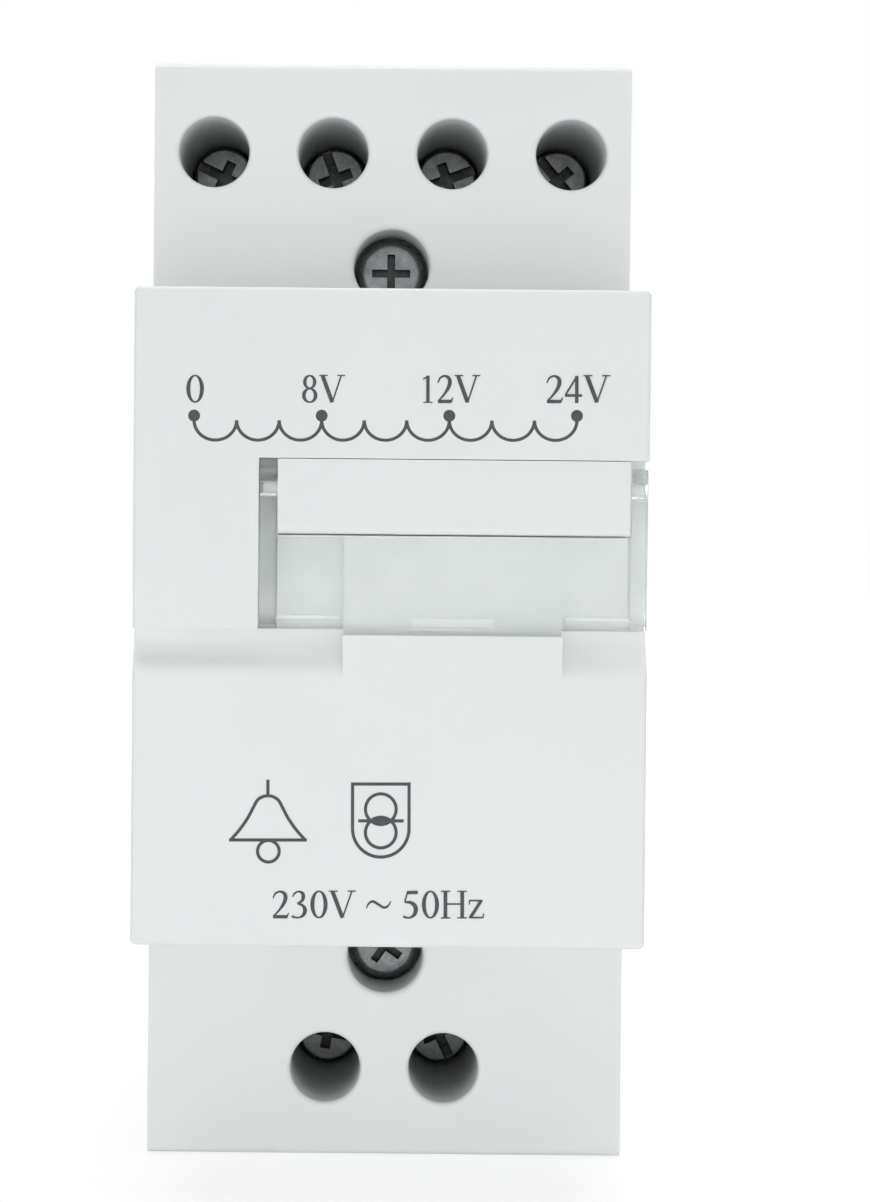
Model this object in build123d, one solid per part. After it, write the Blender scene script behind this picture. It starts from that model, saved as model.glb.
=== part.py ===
"""Doorbell transformer for a 35 mm rail: white case, clear label flap, six terminals and a wound core.

X runs across the module, Y runs from front to back with the rail's front face at zero, Z runs up.
The case is centred on X and Z. All sizes are in millimetres and all angles in degrees.
"""

import os

from build123d import *

# Case shell
WALL = 1.8
BASE_FLOOR = 2.2
NOSE_HEIGHT = 45.0
NOSE_STEP = 16.0
EDGE_ROUND = 0.6
CORNER_ROUND = 0.4
SEAM_MARGIN = 4.0
SEAM_BEVEL = 0.25
SEAM_LIP = 1.7
SEAM_LIP_THICKNESS = 0.85
SEAM_CLEARANCE = 0.1

# Terminals, depths measured back from the shoulders
TERMINALS_ACROSS = 4
CELL_SKIN = 1.2
CELL_WALL = 1.2
CELL_ROOM = 0.4
TERMINAL_EDGE = 6.5
WELL_RADIUS = 2.6
WELL_WALL = 1.0
WELL_SKIRT = 0.6
WELL_ROUND = 0.4
SCREW_DEPTH = 14.5
SCREW_HEAD_RADIUS = 2.35
SCREW_HEAD_HEIGHT = 2.2
SCREW_HEAD_ROUND = 0.25
SCREW_RADIUS = 1.75
SCREW_TIP_CHAMFER = 0.4
SCREW_TIP_GAP = 0.05
SLOT_WIDTH = 0.8
SLOT_DEPTH = 0.9
CROSS_REACH = 1.35
CROSS_DEPTH = 1.4
THREAD_PITCH = 0.6
CLAMP_TURNS = 7
CAGE_WIDTH = 6.0
CAGE_LENGTH = 6.0
CAGE_ROOF = 2.2
CAGE_FLOOR = 1.2
CAGE_SIDE = 0.75
CAGE_CLEARANCE = 0.2
CAGE_ROUND = 0.5
CAGE_GAP = 0.3
THREAD_CLEARANCE = 0.05
WIRE_ROOM = 4.4
BAR_THICKNESS = 1.2
BAR_HEADROOM = 1.2
BAR_CLEARANCE = 0.15
BAR_END_GAP = 0.1
TAG_WIDTH = 2.2
TAG_LENGTH = 2.0
PORT_CLEARANCE = 0.05
PORT_FUNNEL = 0.5

# Case screws, depths measured back from the shoulders
CASE_WELL_RADIUS = 2.8
CASE_WELL_DEPTH = 7.0
CASE_WELL_MARGIN = 0.25
CASE_WELL_FLOOR = 2.0
CASE_WELL_ROUND = 0.5
CASE_HEAD_RADIUS = 2.6
CASE_HEAD_HEIGHT = 1.9
CASE_HEAD_ROUND = 0.6
CASE_SCREW_RADIUS = 1.45
CASE_SCREW_LENGTH = 25.0
CASE_SCREW_CLEARANCE = 0.05
CASE_CROSS_WIDTH = 0.6
CASE_CROSS_REACH = 1.45
CASE_CROSS_DEPTH = 1.1
BOSS_WALL = 1.0
BOSS_LENGTH = 20.0
PILLAR_RADIUS = 3.2
PILOT_SPARE = 2.0

# Laminated core of standard sheets, proportioned in leg widths, and its cradle
CORE_RIB = 1.8
CORE_RIB_WIDTH = 1.2
CORE_RIB_INSET = 2.0
CORE_HEADROOM = 3.2
CORE_CLEARANCE = 0.15
CORE_GAP = 1.35
CRADLE_HEIGHT = 11.8
CRADLE_WALL = 1.3
CRADLE_REACH = 4.5

# Bobbin, windings and what is wrapped round them
BOBBIN_WALL = 0.8
BOBBIN_CLEARANCE = 0.15
FLANGE = 1.0
FLANGE_GAP = 0.5
FLANGE_PLAY = 0.1
SECONDARY_LENGTH = 7.8
WINDING_BUILD = 3.6
WINDING_ROUND = 1.2
TAPE = 0.3
CUTOUT_THICKNESS = 1.7
CUTOUT_SIZE = 5.2
CUTOUT_ROUND = 0.4
CUTOUT_GAP = 0.25
LEAD_RADIUS = 0.5
LEAD_GAP = 0.9
LEAD_SPACING = 0.3
LEAD_BEND = 3.6
LEAD_INSET = 1.2

# Rail slot, fixed hook and sprung latch
RAIL_HEIGHT = 35.0
RAIL_THICKNESS = 1.0
RAIL_PLAY = 0.1
RAIL_ENTRY = 0.5
FOOT_DEPTH = 5.0
HOOK_GAP = 0.3
HOOK_REACH = 1.7
HOOK_CHAMFER = 1.0
LATCH_WIDTH = 12.0
LATCH_THICKNESS = 3.5
LATCH_WING = 1.5
LATCH_WING_THICKNESS = 1.5
LATCH_CLEARANCE = 0.15
LATCH_REACH = 1.6
LATCH_NOSE_CHAMFER = 2.2
LATCH_INSET = 0.2
LATCH_FOOT = 4.3
LATCH_PULL_WIDTH = 5.0
LATCH_PULL_SLOT = 1.6
LATCH_STOP_GAP = 0.1
LATCH_WING_DROP = 2.0
SPRING_WINDOW = 4.0
SPRING_PEG = 2.0
SPRING_LENGTH = 9.9
SPRING_RADIUS = 1.35
SPRING_WIRE = 0.22
SPRING_TURNS = 6
SPRING_END_GAP = 0.05

# Label recess on the nose, heights measured from the nose centre
FLAP_WIDTH = 26.65
RECESS_TOP = 10.9
RECESS_BOTTOM = -0.8
TAB_WIDTH = 15.0
TAB_DROP = 0.35
TONGUE_DEPTH = 1.6
RECESS_DEPTH = 2.3
RECESS_BACKING = 1.5
GROOVE_END = -4.0
GROOVE_DEPTH = 1.6
GROOVE_HOLD = 0.62
GROOVE_RUNOUT = 0.3
GROOVE_LEAD = 0.16
FLAP_CLEARANCE = 0.1
FLAP_PLATE = 1.0
PLATE_INSET = 0.25
ARM_WIDTH = 1.1
ARM_BACK_GAP = 0.3
ARM_TAPER = 3.0
ARM_FOOT = 1.8
KNUCKLE_RADIUS = 1.45
KNUCKLE_CORNER = 0.6
PIN_DROP = 2.0
PIN_RADIUS = 0.6
PIN_CLEARANCE = 0.05
PIN_END_GAP = 0.2
HINGE_BAR_HEIGHT = 5.1
HINGE_BAR_ROUND = 0.5
HINGE_BAR_CLEARANCE = 0.05
PLATE_GAP = 0.2
LIP_RISE = 0.3
LIP_THICKNESS = 0.6
LIP_DEPTH = 1.1
LIP_END_GAP = 0.2
LUG_WIDTH = 5.6
LUG_HEIGHT = 0.75
LUG_RISE = 0.3
LUG_EDGE = 0.12
LUG_END = 0.5

# Across the case: four cells side by side set the width
TERMINAL_PITCH = CAGE_WIDTH + 2 * (CAGE_CLEARANCE + CELL_SKIN)
HALF_WIDTH = TERMINALS_ACROSS * TERMINAL_PITCH / 2
INNER_HALF_WIDTH = HALF_WIDTH - WALL
CORE_STACK = 2 * (INNER_HALF_WIDTH - CUTOUT_GAP - CUTOUT_THICKNESS - TAPE - WINDING_BUILD
                  - BOBBIN_WALL - BOBBIN_CLEARANCE)

# Up the case: the screws clear the nose, the core fits between their pillars, the cells lie outside them
BOSS_RADIUS = CASE_WELL_RADIUS + BOSS_WALL
CASE_SCREW_Z = NOSE_HEIGHT / 2 + CASE_WELL_RADIUS + CASE_WELL_MARGIN
CORE_HALF_HEIGHT = CASE_SCREW_Z - PILLAR_RADIUS - CORE_GAP
CORE_LEG = CORE_HALF_HEIGHT / 3
CELL_INNER_Z = CASE_SCREW_Z + BOSS_RADIUS + CELL_WALL
TERMINAL_Z = CELL_INNER_Z + CELL_ROOM + CAGE_LENGTH / 2
HALF_HEIGHT = TERMINAL_Z + TERMINAL_EDGE
INNER_HALF_HEIGHT = HALF_HEIGHT - WALL

# From back to front: the core sets the shoulders, the shoulders set the nose
FLOOR_Y = -BASE_FLOOR
CORE_BACK_Y = FLOOR_Y - CORE_RIB
CORE_FRONT_Y = CORE_BACK_Y - 5 * CORE_LEG
SHOULDER_Y = CORE_FRONT_Y - CORE_HEADROOM - WALL
NOSE_Y = SHOULDER_Y - NOSE_STEP

# From the shoulders back through a terminal
HEAD_Y = SHOULDER_Y + SCREW_DEPTH
HEAD_UNDER_Y = HEAD_Y + SCREW_HEAD_HEIGHT
WELL_END_Y = HEAD_UNDER_Y + WELL_SKIRT
CLAMP_TRAVEL = THREAD_PITCH * CLAMP_TURNS
CAGE_FRONT_Y = WELL_END_Y + CAGE_GAP + CLAMP_TRAVEL
BAR_FRONT_Y = CAGE_FRONT_Y + CAGE_ROOF + BAR_HEADROOM
BAR_BACK_Y = BAR_FRONT_Y + BAR_THICKNESS
CAGE_FLOOR_Y = BAR_BACK_Y + WIRE_ROOM
CAGE_BACK_Y = CAGE_FLOOR_Y + CAGE_FLOOR
CELL_END_Y = CAGE_BACK_Y + CAGE_GAP + CAGE_CLEARANCE
SEAM_Y = CAGE_BACK_Y + SEAM_MARGIN
TAG_Z = CELL_INNER_Z - CELL_WALL - TAG_LENGTH / 2

# Through a case screw
CASE_SEAT_Y = SHOULDER_Y + CASE_WELL_DEPTH
BOSS_END_Y = SHOULDER_Y + BOSS_LENGTH
CASE_TIP_Y = CASE_SEAT_Y + CASE_SCREW_LENGTH

# Coil outline and chambers
TUBE_HALF_X = CORE_STACK / 2 + BOBBIN_CLEARANCE + BOBBIN_WALL
TUBE_HALF_Z = CORE_LEG + BOBBIN_CLEARANCE + BOBBIN_WALL
COIL_HALF_X = TUBE_HALF_X + WINDING_BUILD
COIL_HALF_Z = TUBE_HALF_Z + WINDING_BUILD
BOBBIN_FRONT_Y = CORE_FRONT_Y + CORE_LEG + FLANGE_PLAY
BOBBIN_BACK_Y = CORE_FRONT_Y + 4 * CORE_LEG - FLANGE_PLAY
SECONDARY_Y = (BOBBIN_FRONT_Y + FLANGE, BOBBIN_FRONT_Y + FLANGE + SECONDARY_LENGTH)
PRIMARY_Y = (SECONDARY_Y[1] + FLANGE, BOBBIN_BACK_Y - FLANGE)

# Rail side
SLOT_TOP = RAIL_HEIGHT / 2 + RAIL_PLAY
SLOT_BOTTOM = -RAIL_HEIGHT / 2 - RAIL_ENTRY
HOOK_Y = RAIL_THICKNESS + HOOK_GAP
LATCH_Y = (HOOK_Y, HOOK_Y + LATCH_THICKNESS)
LATCH_TOP = -RAIL_HEIGHT / 2 + LATCH_REACH
LATCH_BOTTOM = -HALF_HEIGHT + LATCH_INSET
WINDOW_BOTTOM = LATCH_BOTTOM + LATCH_FOOT
PEG_BOTTOM = WINDOW_BOTTOM + LATCH_STOP_GAP
PEG_TOP = PEG_BOTTOM + SPRING_PEG
WINDOW_TOP = PEG_TOP + SPRING_LENGTH
SPRING_Y = sum(LATCH_Y) / 2

# Label flap
RECESS_LEFT = HALF_WIDTH - FLAP_WIDTH
FLAP_CENTRE = HALF_WIDTH - FLAP_WIDTH / 2
FLAP_LEFT = RECESS_LEFT + FLAP_CLEARANCE
FLAP_RIGHT = HALF_WIDTH - FLAP_CLEARANCE
CHANNEL = ARM_WIDTH + 1.5 * FLAP_CLEARANCE
HINGE_BAR_X = (FLAP_LEFT + ARM_WIDTH + FLAP_CLEARANCE, FLAP_RIGHT - ARM_WIDTH - FLAP_CLEARANCE)
HINGE_BAR_Z = (RECESS_TOP - HINGE_BAR_CLEARANCE - HINGE_BAR_HEIGHT, RECESS_TOP - HINGE_BAR_CLEARANCE)
PIN_Y = NOSE_Y + KNUCKLE_RADIUS
PIN_Z = RECESS_TOP - PIN_DROP
ARM_BACK_Y = NOSE_Y + 2 * KNUCKLE_RADIUS
CHANNEL_Y = ARM_BACK_Y + ARM_BACK_GAP
FLAP_BOTTOM = RECESS_BOTTOM + FLAP_CLEARANCE
TAB_X = (FLAP_CENTRE - TAB_WIDTH / 2, FLAP_CENTRE + TAB_WIDTH / 2)
TAB_BOTTOM = RECESS_BOTTOM - TAB_DROP
POCKET_BOTTOM = HINGE_BAR_Z[0] - PLATE_GAP / 2

TOP_TERMINALS = ("0v", "8v", "12v", "24v")
BOTTOM_TERMINALS = ("live", "neutral")
SLOT_ANGLES = {"0v": 25, "8v": 70, "12v": -20, "24v": 50, "live": 10, "neutral": 65}


def block(x, y, z):
    """Return a box from its low and high corners on each axis."""
    sizes = [high - low for low, high in (x, y, z)]
    centre = [(low + high) / 2 for low, high in (x, y, z)]
    return Pos(*centre) * Box(*sizes)


def rod_y(radius, y, x=0.0, z=0.0):
    """Return a cylinder that runs from front to back."""
    return Pos(x, (y[0] + y[1]) / 2, z) * Rot(90, 0, 0) * Cylinder(radius, y[1] - y[0])


def rod_x(radius, x, y, z):
    """Return a cylinder that runs across the case."""
    return Pos((x[0] + x[1]) / 2, y, z) * Rot(0, 90, 0) * Cylinder(radius, x[1] - x[0])


def prism_x(points, x):
    """Return a side outline of (Y, Z) points drawn out across the case."""
    outline = Plane.YZ * Polygon(*points, align=None)
    return Pos(x[0], 0, 0) * extrude(outline, amount=x[1] - x[0], dir=(1, 0, 0))


def sleeve(half_x, half_z, corner, y):
    """Return a rounded rectangular column that runs from front to back."""
    outline = Plane.XZ * RectangleRounded(2 * half_x, 2 * half_z, corner)
    return Pos(0, y[1], 0) * extrude(outline, amount=y[1] - y[0])


def both_ends(half):
    """Return the same span at the top and the bottom of the case."""
    return half, (-half[1], -half[0])


def terminal_places():
    """Return each terminal's name with the move from the screw axis at the origin to its place."""
    places = {}
    for index, name in enumerate(TOP_TERMINALS):
        x = (index - (TERMINALS_ACROSS - 1) / 2) * TERMINAL_PITCH
        places[name] = Pos(x, 0, TERMINAL_Z)
    for index, name in enumerate(BOTTOM_TERMINALS):
        x = (index - 0.5) * TERMINAL_PITCH
        places[name] = Pos(x, 0, -TERMINAL_Z) * Rot(0, 180, 0)
    return places


def rim_edges(body, radius, y):
    """Return the circular edges of one radius that lie in a plane facing the front."""
    rings = body.edges().filter_by(GeomType.CIRCLE)
    return [ring for ring in rings
            if abs(ring.radius - radius) < 1e-4 and abs(ring.center().Y - y) < 1e-4]


def case_outline():
    """Return the solid outside shape of the front housing, nose and shoulders."""
    body = block((-HALF_WIDTH, HALF_WIDTH), (SHOULDER_Y, SEAM_Y), (-HALF_HEIGHT, HALF_HEIGHT))
    body = chamfer(body.faces().sort_by(Axis.Y)[-1].edges(), SEAM_BEVEL)
    ends = [edge for edge in body.edges().filter_by(Axis.X) if edge.center().Y < SHOULDER_Y + WALL]
    body = fillet(ends, EDGE_ROUND)
    nose_z = (-NOSE_HEIGHT / 2, NOSE_HEIGHT / 2)
    nose = block((-HALF_WIDTH, HALF_WIDTH), (NOSE_Y, SHOULDER_Y + WALL / 2), nose_z)
    nose = fillet(nose.edges().filter_by(Axis.Y), CORNER_ROUND)
    nose = fillet(nose.faces().sort_by(Axis.Y)[0].edges(), EDGE_ROUND / 2)
    return body + nose


def terminal_cells():
    """Return the inner walls of both terminal rows: wells, partitions and bar supports."""
    inner = SHOULDER_Y + WALL / 2
    cells = None
    for z in both_ends((CELL_INNER_Z - CELL_WALL, CELL_INNER_Z)):
        wall = block((-INNER_HALF_WIDTH - WALL / 2, INNER_HALF_WIDTH + WALL / 2), (inner, CELL_END_Y), z)
        cells = wall if cells is None else cells + wall
    for z in both_ends((CELL_INNER_Z - CELL_WALL, INNER_HALF_HEIGHT + WALL / 2)):
        for step in (-1, 0, 1):
            x = step * TERMINAL_PITCH
            cells += block((x - CELL_WALL / 2, x + CELL_WALL / 2), (inner, CELL_END_Y), z)
    for place in terminal_places().values():
        cells += place * rod_y(WELL_RADIUS + WELL_WALL, (inner, WELL_END_Y))
    return cells


def terminal_cuts():
    """Return everything that one terminal takes out of the front housing, about its screw axis."""
    well = rod_y(WELL_RADIUS, (SHOULDER_Y - WALL, WELL_END_Y + WALL / 2))
    half = CAGE_WIDTH / 2 + CAGE_CLEARANCE
    reach = TERMINAL_EDGE - WALL
    cell = block((-half, half), (WELL_END_Y, CELL_END_Y), (-CELL_ROOM - CAGE_LENGTH / 2, reach))
    bar_half = CAGE_WIDTH / 2 - CAGE_SIDE
    notch_z = (-CELL_ROOM - CAGE_LENGTH / 2 - 2 * CELL_WALL, 0)
    notch = block((-bar_half, bar_half), (BAR_FRONT_Y - SCREW_TIP_GAP, CELL_END_Y + WALL), notch_z)
    port_half = CAGE_WIDTH / 2 - CAGE_SIDE + PORT_CLEARANCE
    port_y = (BAR_BACK_Y - PORT_CLEARANCE, CAGE_FLOOR_Y + PORT_CLEARANCE)
    port = block((-port_half, port_half), port_y, (reach - WALL / 2, TERMINAL_EDGE + WALL))
    mouth = Rectangle(2 * (port_half + PORT_FUNNEL), port_y[1] - port_y[0] + 2 * PORT_FUNNEL)
    mouth = Pos(0, sum(port_y) / 2, TERMINAL_EDGE) * extrude(mouth, amount=-PORT_FUNNEL, taper=45)
    return well + cell + notch + port + mouth


def label_recess():
    """Return what the label flap, its hinge bar and the finger grooves take out of the nose."""
    beyond = NOSE_Y - WALL
    right = HALF_WIDTH + WALL
    pocket = block((RECESS_LEFT, right), (beyond, CHANNEL_Y - ARM_BACK_GAP / 2), (POCKET_BOTTOM, RECESS_TOP))
    sides = block((RECESS_LEFT, right), (beyond, NOSE_Y + RECESS_DEPTH), (RECESS_BOTTOM, POCKET_BOTTOM))
    tongue = block(TAB_X, (NOSE_Y + TONGUE_DEPTH, NOSE_Y + RECESS_DEPTH + WALL), (RECESS_BOTTOM, POCKET_BOTTOM))
    tab = block(TAB_X, (beyond, NOSE_Y + TONGUE_DEPTH), (TAB_BOTTOM, POCKET_BOTTOM))
    left_channel = (RECESS_LEFT, RECESS_LEFT + CHANNEL)
    right_channel = (HALF_WIDTH - CHANNEL, right)
    recess = pocket + (sides - tongue) + tab
    for x in (left_channel, right_channel):
        recess += block(x, (beyond, CHANNEL_Y), (RECESS_BOTTOM, RECESS_TOP))
    for x in ((-right, TAB_X[0]), (TAB_X[1], right)):
        recess += finger_groove(x)
    return recess


def finger_groove(x):
    """Return a finger groove, deepest under the flap and running out softly into the nose face."""
    height = RECESS_BOTTOM - GROOVE_END
    floor = NOSE_Y + GROOVE_DEPTH
    curve = Bezier((floor, RECESS_BOTTOM), (floor, RECESS_BOTTOM - GROOVE_HOLD * height),
                   (NOSE_Y + GROOVE_LEAD, GROOVE_END + GROOVE_RUNOUT * height), (NOSE_Y, GROOVE_END))
    rest = Polyline((NOSE_Y, GROOVE_END), (NOSE_Y - WALL, GROOVE_END), (NOSE_Y - WALL, RECESS_BOTTOM),
                    (floor, RECESS_BOTTOM))
    outline = make_face(curve.edges() + rest.edges())
    return Pos(x[0], 0, 0) * extrude(Plane.YZ * outline, amount=x[1] - x[0], dir=(1, 0, 0))


def front_housing():
    """Build the white front moulding with nose, wells, cells, bosses and the label recess."""
    inner_z = (-INNER_HALF_HEIGHT, INNER_HALF_HEIGHT)
    nose_half = NOSE_HEIGHT / 2 - WALL
    inner_x = (-INNER_HALF_WIDTH, INNER_HALF_WIDTH)
    cavity = block(inner_x, (SHOULDER_Y + WALL, SEAM_Y + WALL), inner_z)
    cavity += block(inner_x, (NOSE_Y + WALL, SHOULDER_Y + 2 * WALL), (-nose_half, nose_half))
    lip = SEAM_LIP_THICKNESS + SEAM_CLEARANCE
    rebate = block((-INNER_HALF_WIDTH - lip, INNER_HALF_WIDTH + lip),
                   (SEAM_Y - SEAM_LIP - SEAM_CLEARANCE, SEAM_Y + WALL),
                   (-INNER_HALF_HEIGHT - lip, INNER_HALF_HEIGHT + lip))
    housing = case_outline() - cavity - rebate

    housing += terminal_cells()
    backing_z = (GROOVE_END - RECESS_BACKING, RECESS_TOP + RECESS_BACKING)
    housing += block((RECESS_LEFT - RECESS_BACKING, INNER_HALF_WIDTH + WALL / 2),
                     (NOSE_Y + WALL / 2, CHANNEL_Y + RECESS_BACKING), backing_z)
    groove_z = (GROOVE_END - RECESS_BACKING, RECESS_BOTTOM + RECESS_BACKING)
    housing += block((-INNER_HALF_WIDTH - WALL / 2, RECESS_LEFT),
                     (NOSE_Y + WALL / 2, NOSE_Y + GROOVE_DEPTH + RECESS_BACKING), groove_z)
    for side in (-1, 1):
        x = side * (CORE_STACK / 2 - CORE_RIB_INSET)
        housing += block((x - CORE_RIB_WIDTH / 2, x + CORE_RIB_WIDTH / 2),
                         (NOSE_Y + WALL / 2, CORE_FRONT_Y), (-nose_half - WALL / 2, nose_half + WALL / 2))
        z = side * CASE_SCREW_Z
        housing += rod_y(BOSS_RADIUS, (SHOULDER_Y + WALL / 2, CASE_SEAT_Y + CASE_WELL_FLOOR), z=z)
        housing += rod_y(PILLAR_RADIUS, (CASE_SEAT_Y, BOSS_END_Y), z=z)

    for place in terminal_places().values():
        housing -= place * terminal_cuts()
    for side in (-1, 1):
        z = side * CASE_SCREW_Z
        housing -= rod_y(CASE_WELL_RADIUS, (SHOULDER_Y - WALL, CASE_SEAT_Y), z=z)
        housing -= rod_y(CASE_SCREW_RADIUS + CASE_SCREW_CLEARANCE, (CASE_SEAT_Y, BOSS_END_Y + WALL), z=z)
    housing -= label_recess()
    housing = fillet(rim_edges(housing, WELL_RADIUS, SHOULDER_Y), WELL_ROUND)
    return fillet(rim_edges(housing, CASE_WELL_RADIUS, SHOULDER_Y), CASE_WELL_ROUND)


def rear_base():
    """Build the white rear moulding with rail slot, hook, latch guide, pillars and core cradle."""
    full_x = (-HALF_WIDTH, HALF_WIDTH)
    base = block(full_x, (SEAM_Y, FOOT_DEPTH), (-HALF_HEIGHT, HALF_HEIGHT))
    base = chamfer(base.faces().sort_by(Axis.Y)[0].edges(), SEAM_BEVEL)
    ends = [edge for edge in base.edges().filter_by(Axis.X) if edge.center().Y > 0]
    base = fillet(ends, EDGE_ROUND)
    lip_x = INNER_HALF_WIDTH + SEAM_LIP_THICKNESS
    lip_z = INNER_HALF_HEIGHT + SEAM_LIP_THICKNESS
    base += block((-lip_x, lip_x), (SEAM_Y - SEAM_LIP, SEAM_Y), (-lip_z, lip_z))
    base -= block((-INNER_HALF_WIDTH, INNER_HALF_WIDTH), (SEAM_Y - 2 * SEAM_LIP, FLOOR_Y),
                  (-INNER_HALF_HEIGHT, INNER_HALF_HEIGHT))
    base -= block((-HALF_WIDTH - WALL, HALF_WIDTH + WALL), (0, FOOT_DEPTH + WALL), (SLOT_BOTTOM, SLOT_TOP))
    base += prism_x([(HOOK_Y, SLOT_TOP + EDGE_ROUND), (HOOK_Y, SLOT_TOP - HOOK_REACH),
                     (FOOT_DEPTH - HOOK_CHAMFER, SLOT_TOP - HOOK_REACH),
                     (FOOT_DEPTH, SLOT_TOP - HOOK_REACH + HOOK_CHAMFER), (FOOT_DEPTH, SLOT_TOP + EDGE_ROUND)],
                    full_x)

    pocket_y = (FLOOR_Y - WALL, FOOT_DEPTH - WALL)
    base -= block((-INNER_HALF_WIDTH, INNER_HALF_WIDTH), pocket_y, (SLOT_TOP + WALL, INNER_HALF_HEIGHT))
    guide = LATCH_WIDTH / 2 + LATCH_WING + LATCH_CLEARANCE
    for x in ((-INNER_HALF_WIDTH, -guide - WALL), (guide + WALL, INNER_HALF_WIDTH)):
        base -= block(x, pocket_y, (-INNER_HALF_HEIGHT, SLOT_BOTTOM - WALL))

    channel_z = (-HALF_HEIGHT - WALL, SLOT_BOTTOM + WALL)
    channel_y = LATCH_Y[0] - LATCH_CLEARANCE
    wing_y = LATCH_Y[0] + LATCH_WING_THICKNESS + LATCH_CLEARANCE
    throat = LATCH_WIDTH / 2 + LATCH_CLEARANCE
    base -= block((-guide, guide), (channel_y, wing_y), channel_z)
    base -= block((-throat, throat), (channel_y, FOOT_DEPTH + WALL), channel_z)
    peg = SPRING_WINDOW / 2 - LATCH_CLEARANCE
    base += block((-peg, peg), (channel_y - WALL / 2, LATCH_Y[1]), (PEG_BOTTOM, PEG_TOP))

    for side in (-1, 1):
        floor = FOOT_DEPTH - WALL / 2 if side > 0 else FLOOR_Y + WALL / 2
        base += rod_y(PILLAR_RADIUS, (BOSS_END_Y, floor), z=side * CASE_SCREW_Z)
        base -= rod_y(CASE_SCREW_RADIUS + CASE_SCREW_CLEARANCE, (BOSS_END_Y - WALL, CASE_TIP_Y + PILOT_SPARE),
                      z=side * CASE_SCREW_Z)
    return base + core_cradle()


def core_cradle():
    """Return the ribs and corner posts of the base that carry the core."""
    under = FLOOR_Y + BASE_FLOOR / 2
    post_y = (FLOOR_Y - CRADLE_HEIGHT, under)
    side_x = CORE_STACK / 2 + CORE_CLEARANCE
    end_z = CORE_HALF_HEIGHT + CORE_CLEARANCE
    rib_x = CORE_STACK / 2 - CORE_RIB_INSET
    cradle = None
    for sign_x in (-1, 1):
        x = sign_x * rib_x
        rib = block((x - CORE_RIB_WIDTH / 2, x + CORE_RIB_WIDTH / 2), (CORE_BACK_Y, under),
                    (-CORE_HALF_HEIGHT, CORE_HALF_HEIGHT))
        cradle = rib if cradle is None else cradle + rib
        for sign_z in (-1, 1):
            side = sorted((sign_x * side_x, sign_x * (side_x + CRADLE_WALL)))
            reach = sorted((sign_z * (end_z - CRADLE_REACH), sign_z * (end_z + CRADLE_WALL)))
            cradle += block(side, post_y, reach)
            reach = sorted((sign_x * (side_x - CRADLE_REACH), sign_x * (side_x + CRADLE_WALL)))
            end = sorted((sign_z * end_z, sign_z * (end_z + CRADLE_WALL)))
            cradle += block(reach, post_y, end)
    return cradle


def hinge_bar():
    """Build the white strip that fills the top of the recess and carries the flap on two pins."""
    back = CHANNEL_Y - ARM_BACK_GAP / 2
    bar = block(HINGE_BAR_X, (NOSE_Y + HINGE_BAR_CLEARANCE, back), HINGE_BAR_Z)
    edges = [edge for edge in bar.edges().filter_by(Axis.X)
             if edge.center().Y < PIN_Y and edge.center().Z < PIN_Z]
    bar = fillet(edges, HINGE_BAR_ROUND)
    pins = (FLAP_LEFT + PIN_END_GAP, FLAP_RIGHT - PIN_END_GAP)
    return bar + rod_x(PIN_RADIUS, pins, PIN_Y, PIN_Z)


def flap_arm(x):
    """Return one arm of the flap: a flat front, a tapered foot and a rounded knuckle with its eye."""
    top = PIN_Z + KNUCKLE_RADIUS
    front = block(x, (NOSE_Y, PIN_Y), (PIN_Z, top))
    corner = [edge for edge in front.edges().filter_by(Axis.X)
              if edge.center().Y < PIN_Y - KNUCKLE_CORNER and edge.center().Z > PIN_Z + KNUCKLE_CORNER]
    outline = [(NOSE_Y, PIN_Z), (NOSE_Y, FLAP_BOTTOM), (NOSE_Y + ARM_FOOT, FLAP_BOTTOM),
               (ARM_BACK_Y, FLAP_BOTTOM + ARM_TAPER), (ARM_BACK_Y, PIN_Z)]
    arm = prism_x(outline, x) + fillet(corner, KNUCKLE_CORNER) + rod_x(KNUCKLE_RADIUS, x, PIN_Y, PIN_Z)
    return arm - rod_x(PIN_RADIUS + PIN_CLEARANCE, (x[0] - WALL, x[1] + WALL), PIN_Y, PIN_Z)


def flap_lip(x):
    """Return a bottom edge of the flap: a bevelled front border and a lip that turns in behind it."""
    top = FLAP_BOTTOM + LIP_RISE + LIP_THICKNESS
    back = NOSE_Y + FLAP_PLATE
    border = [(NOSE_Y, FLAP_BOTTOM), (back, FLAP_BOTTOM), (back, top), (NOSE_Y + PLATE_INSET, top),
              (NOSE_Y, top - PLATE_INSET)]
    return prism_x(border, x) + block(x, (back - PLATE_INSET, back + LIP_DEPTH), (FLAP_BOTTOM + LIP_RISE, top))


def nail_lug(bottom):
    """Return the sloped ridge in the middle of the flap that a nail lifts it by."""
    foot = Pos(FLAP_CENTRE, NOSE_Y + PLATE_INSET, bottom + LUG_HEIGHT / 2) * (
        Plane.XZ * Rectangle(LUG_WIDTH, LUG_HEIGHT))
    crest = Pos(FLAP_CENTRE, NOSE_Y, bottom + 1.5 * LUG_EDGE) * (
        Plane.XZ * Rectangle(LUG_WIDTH - 2 * LUG_END, LUG_EDGE))
    return loft([foot.face(), crest.face()], ruled=True)


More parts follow.
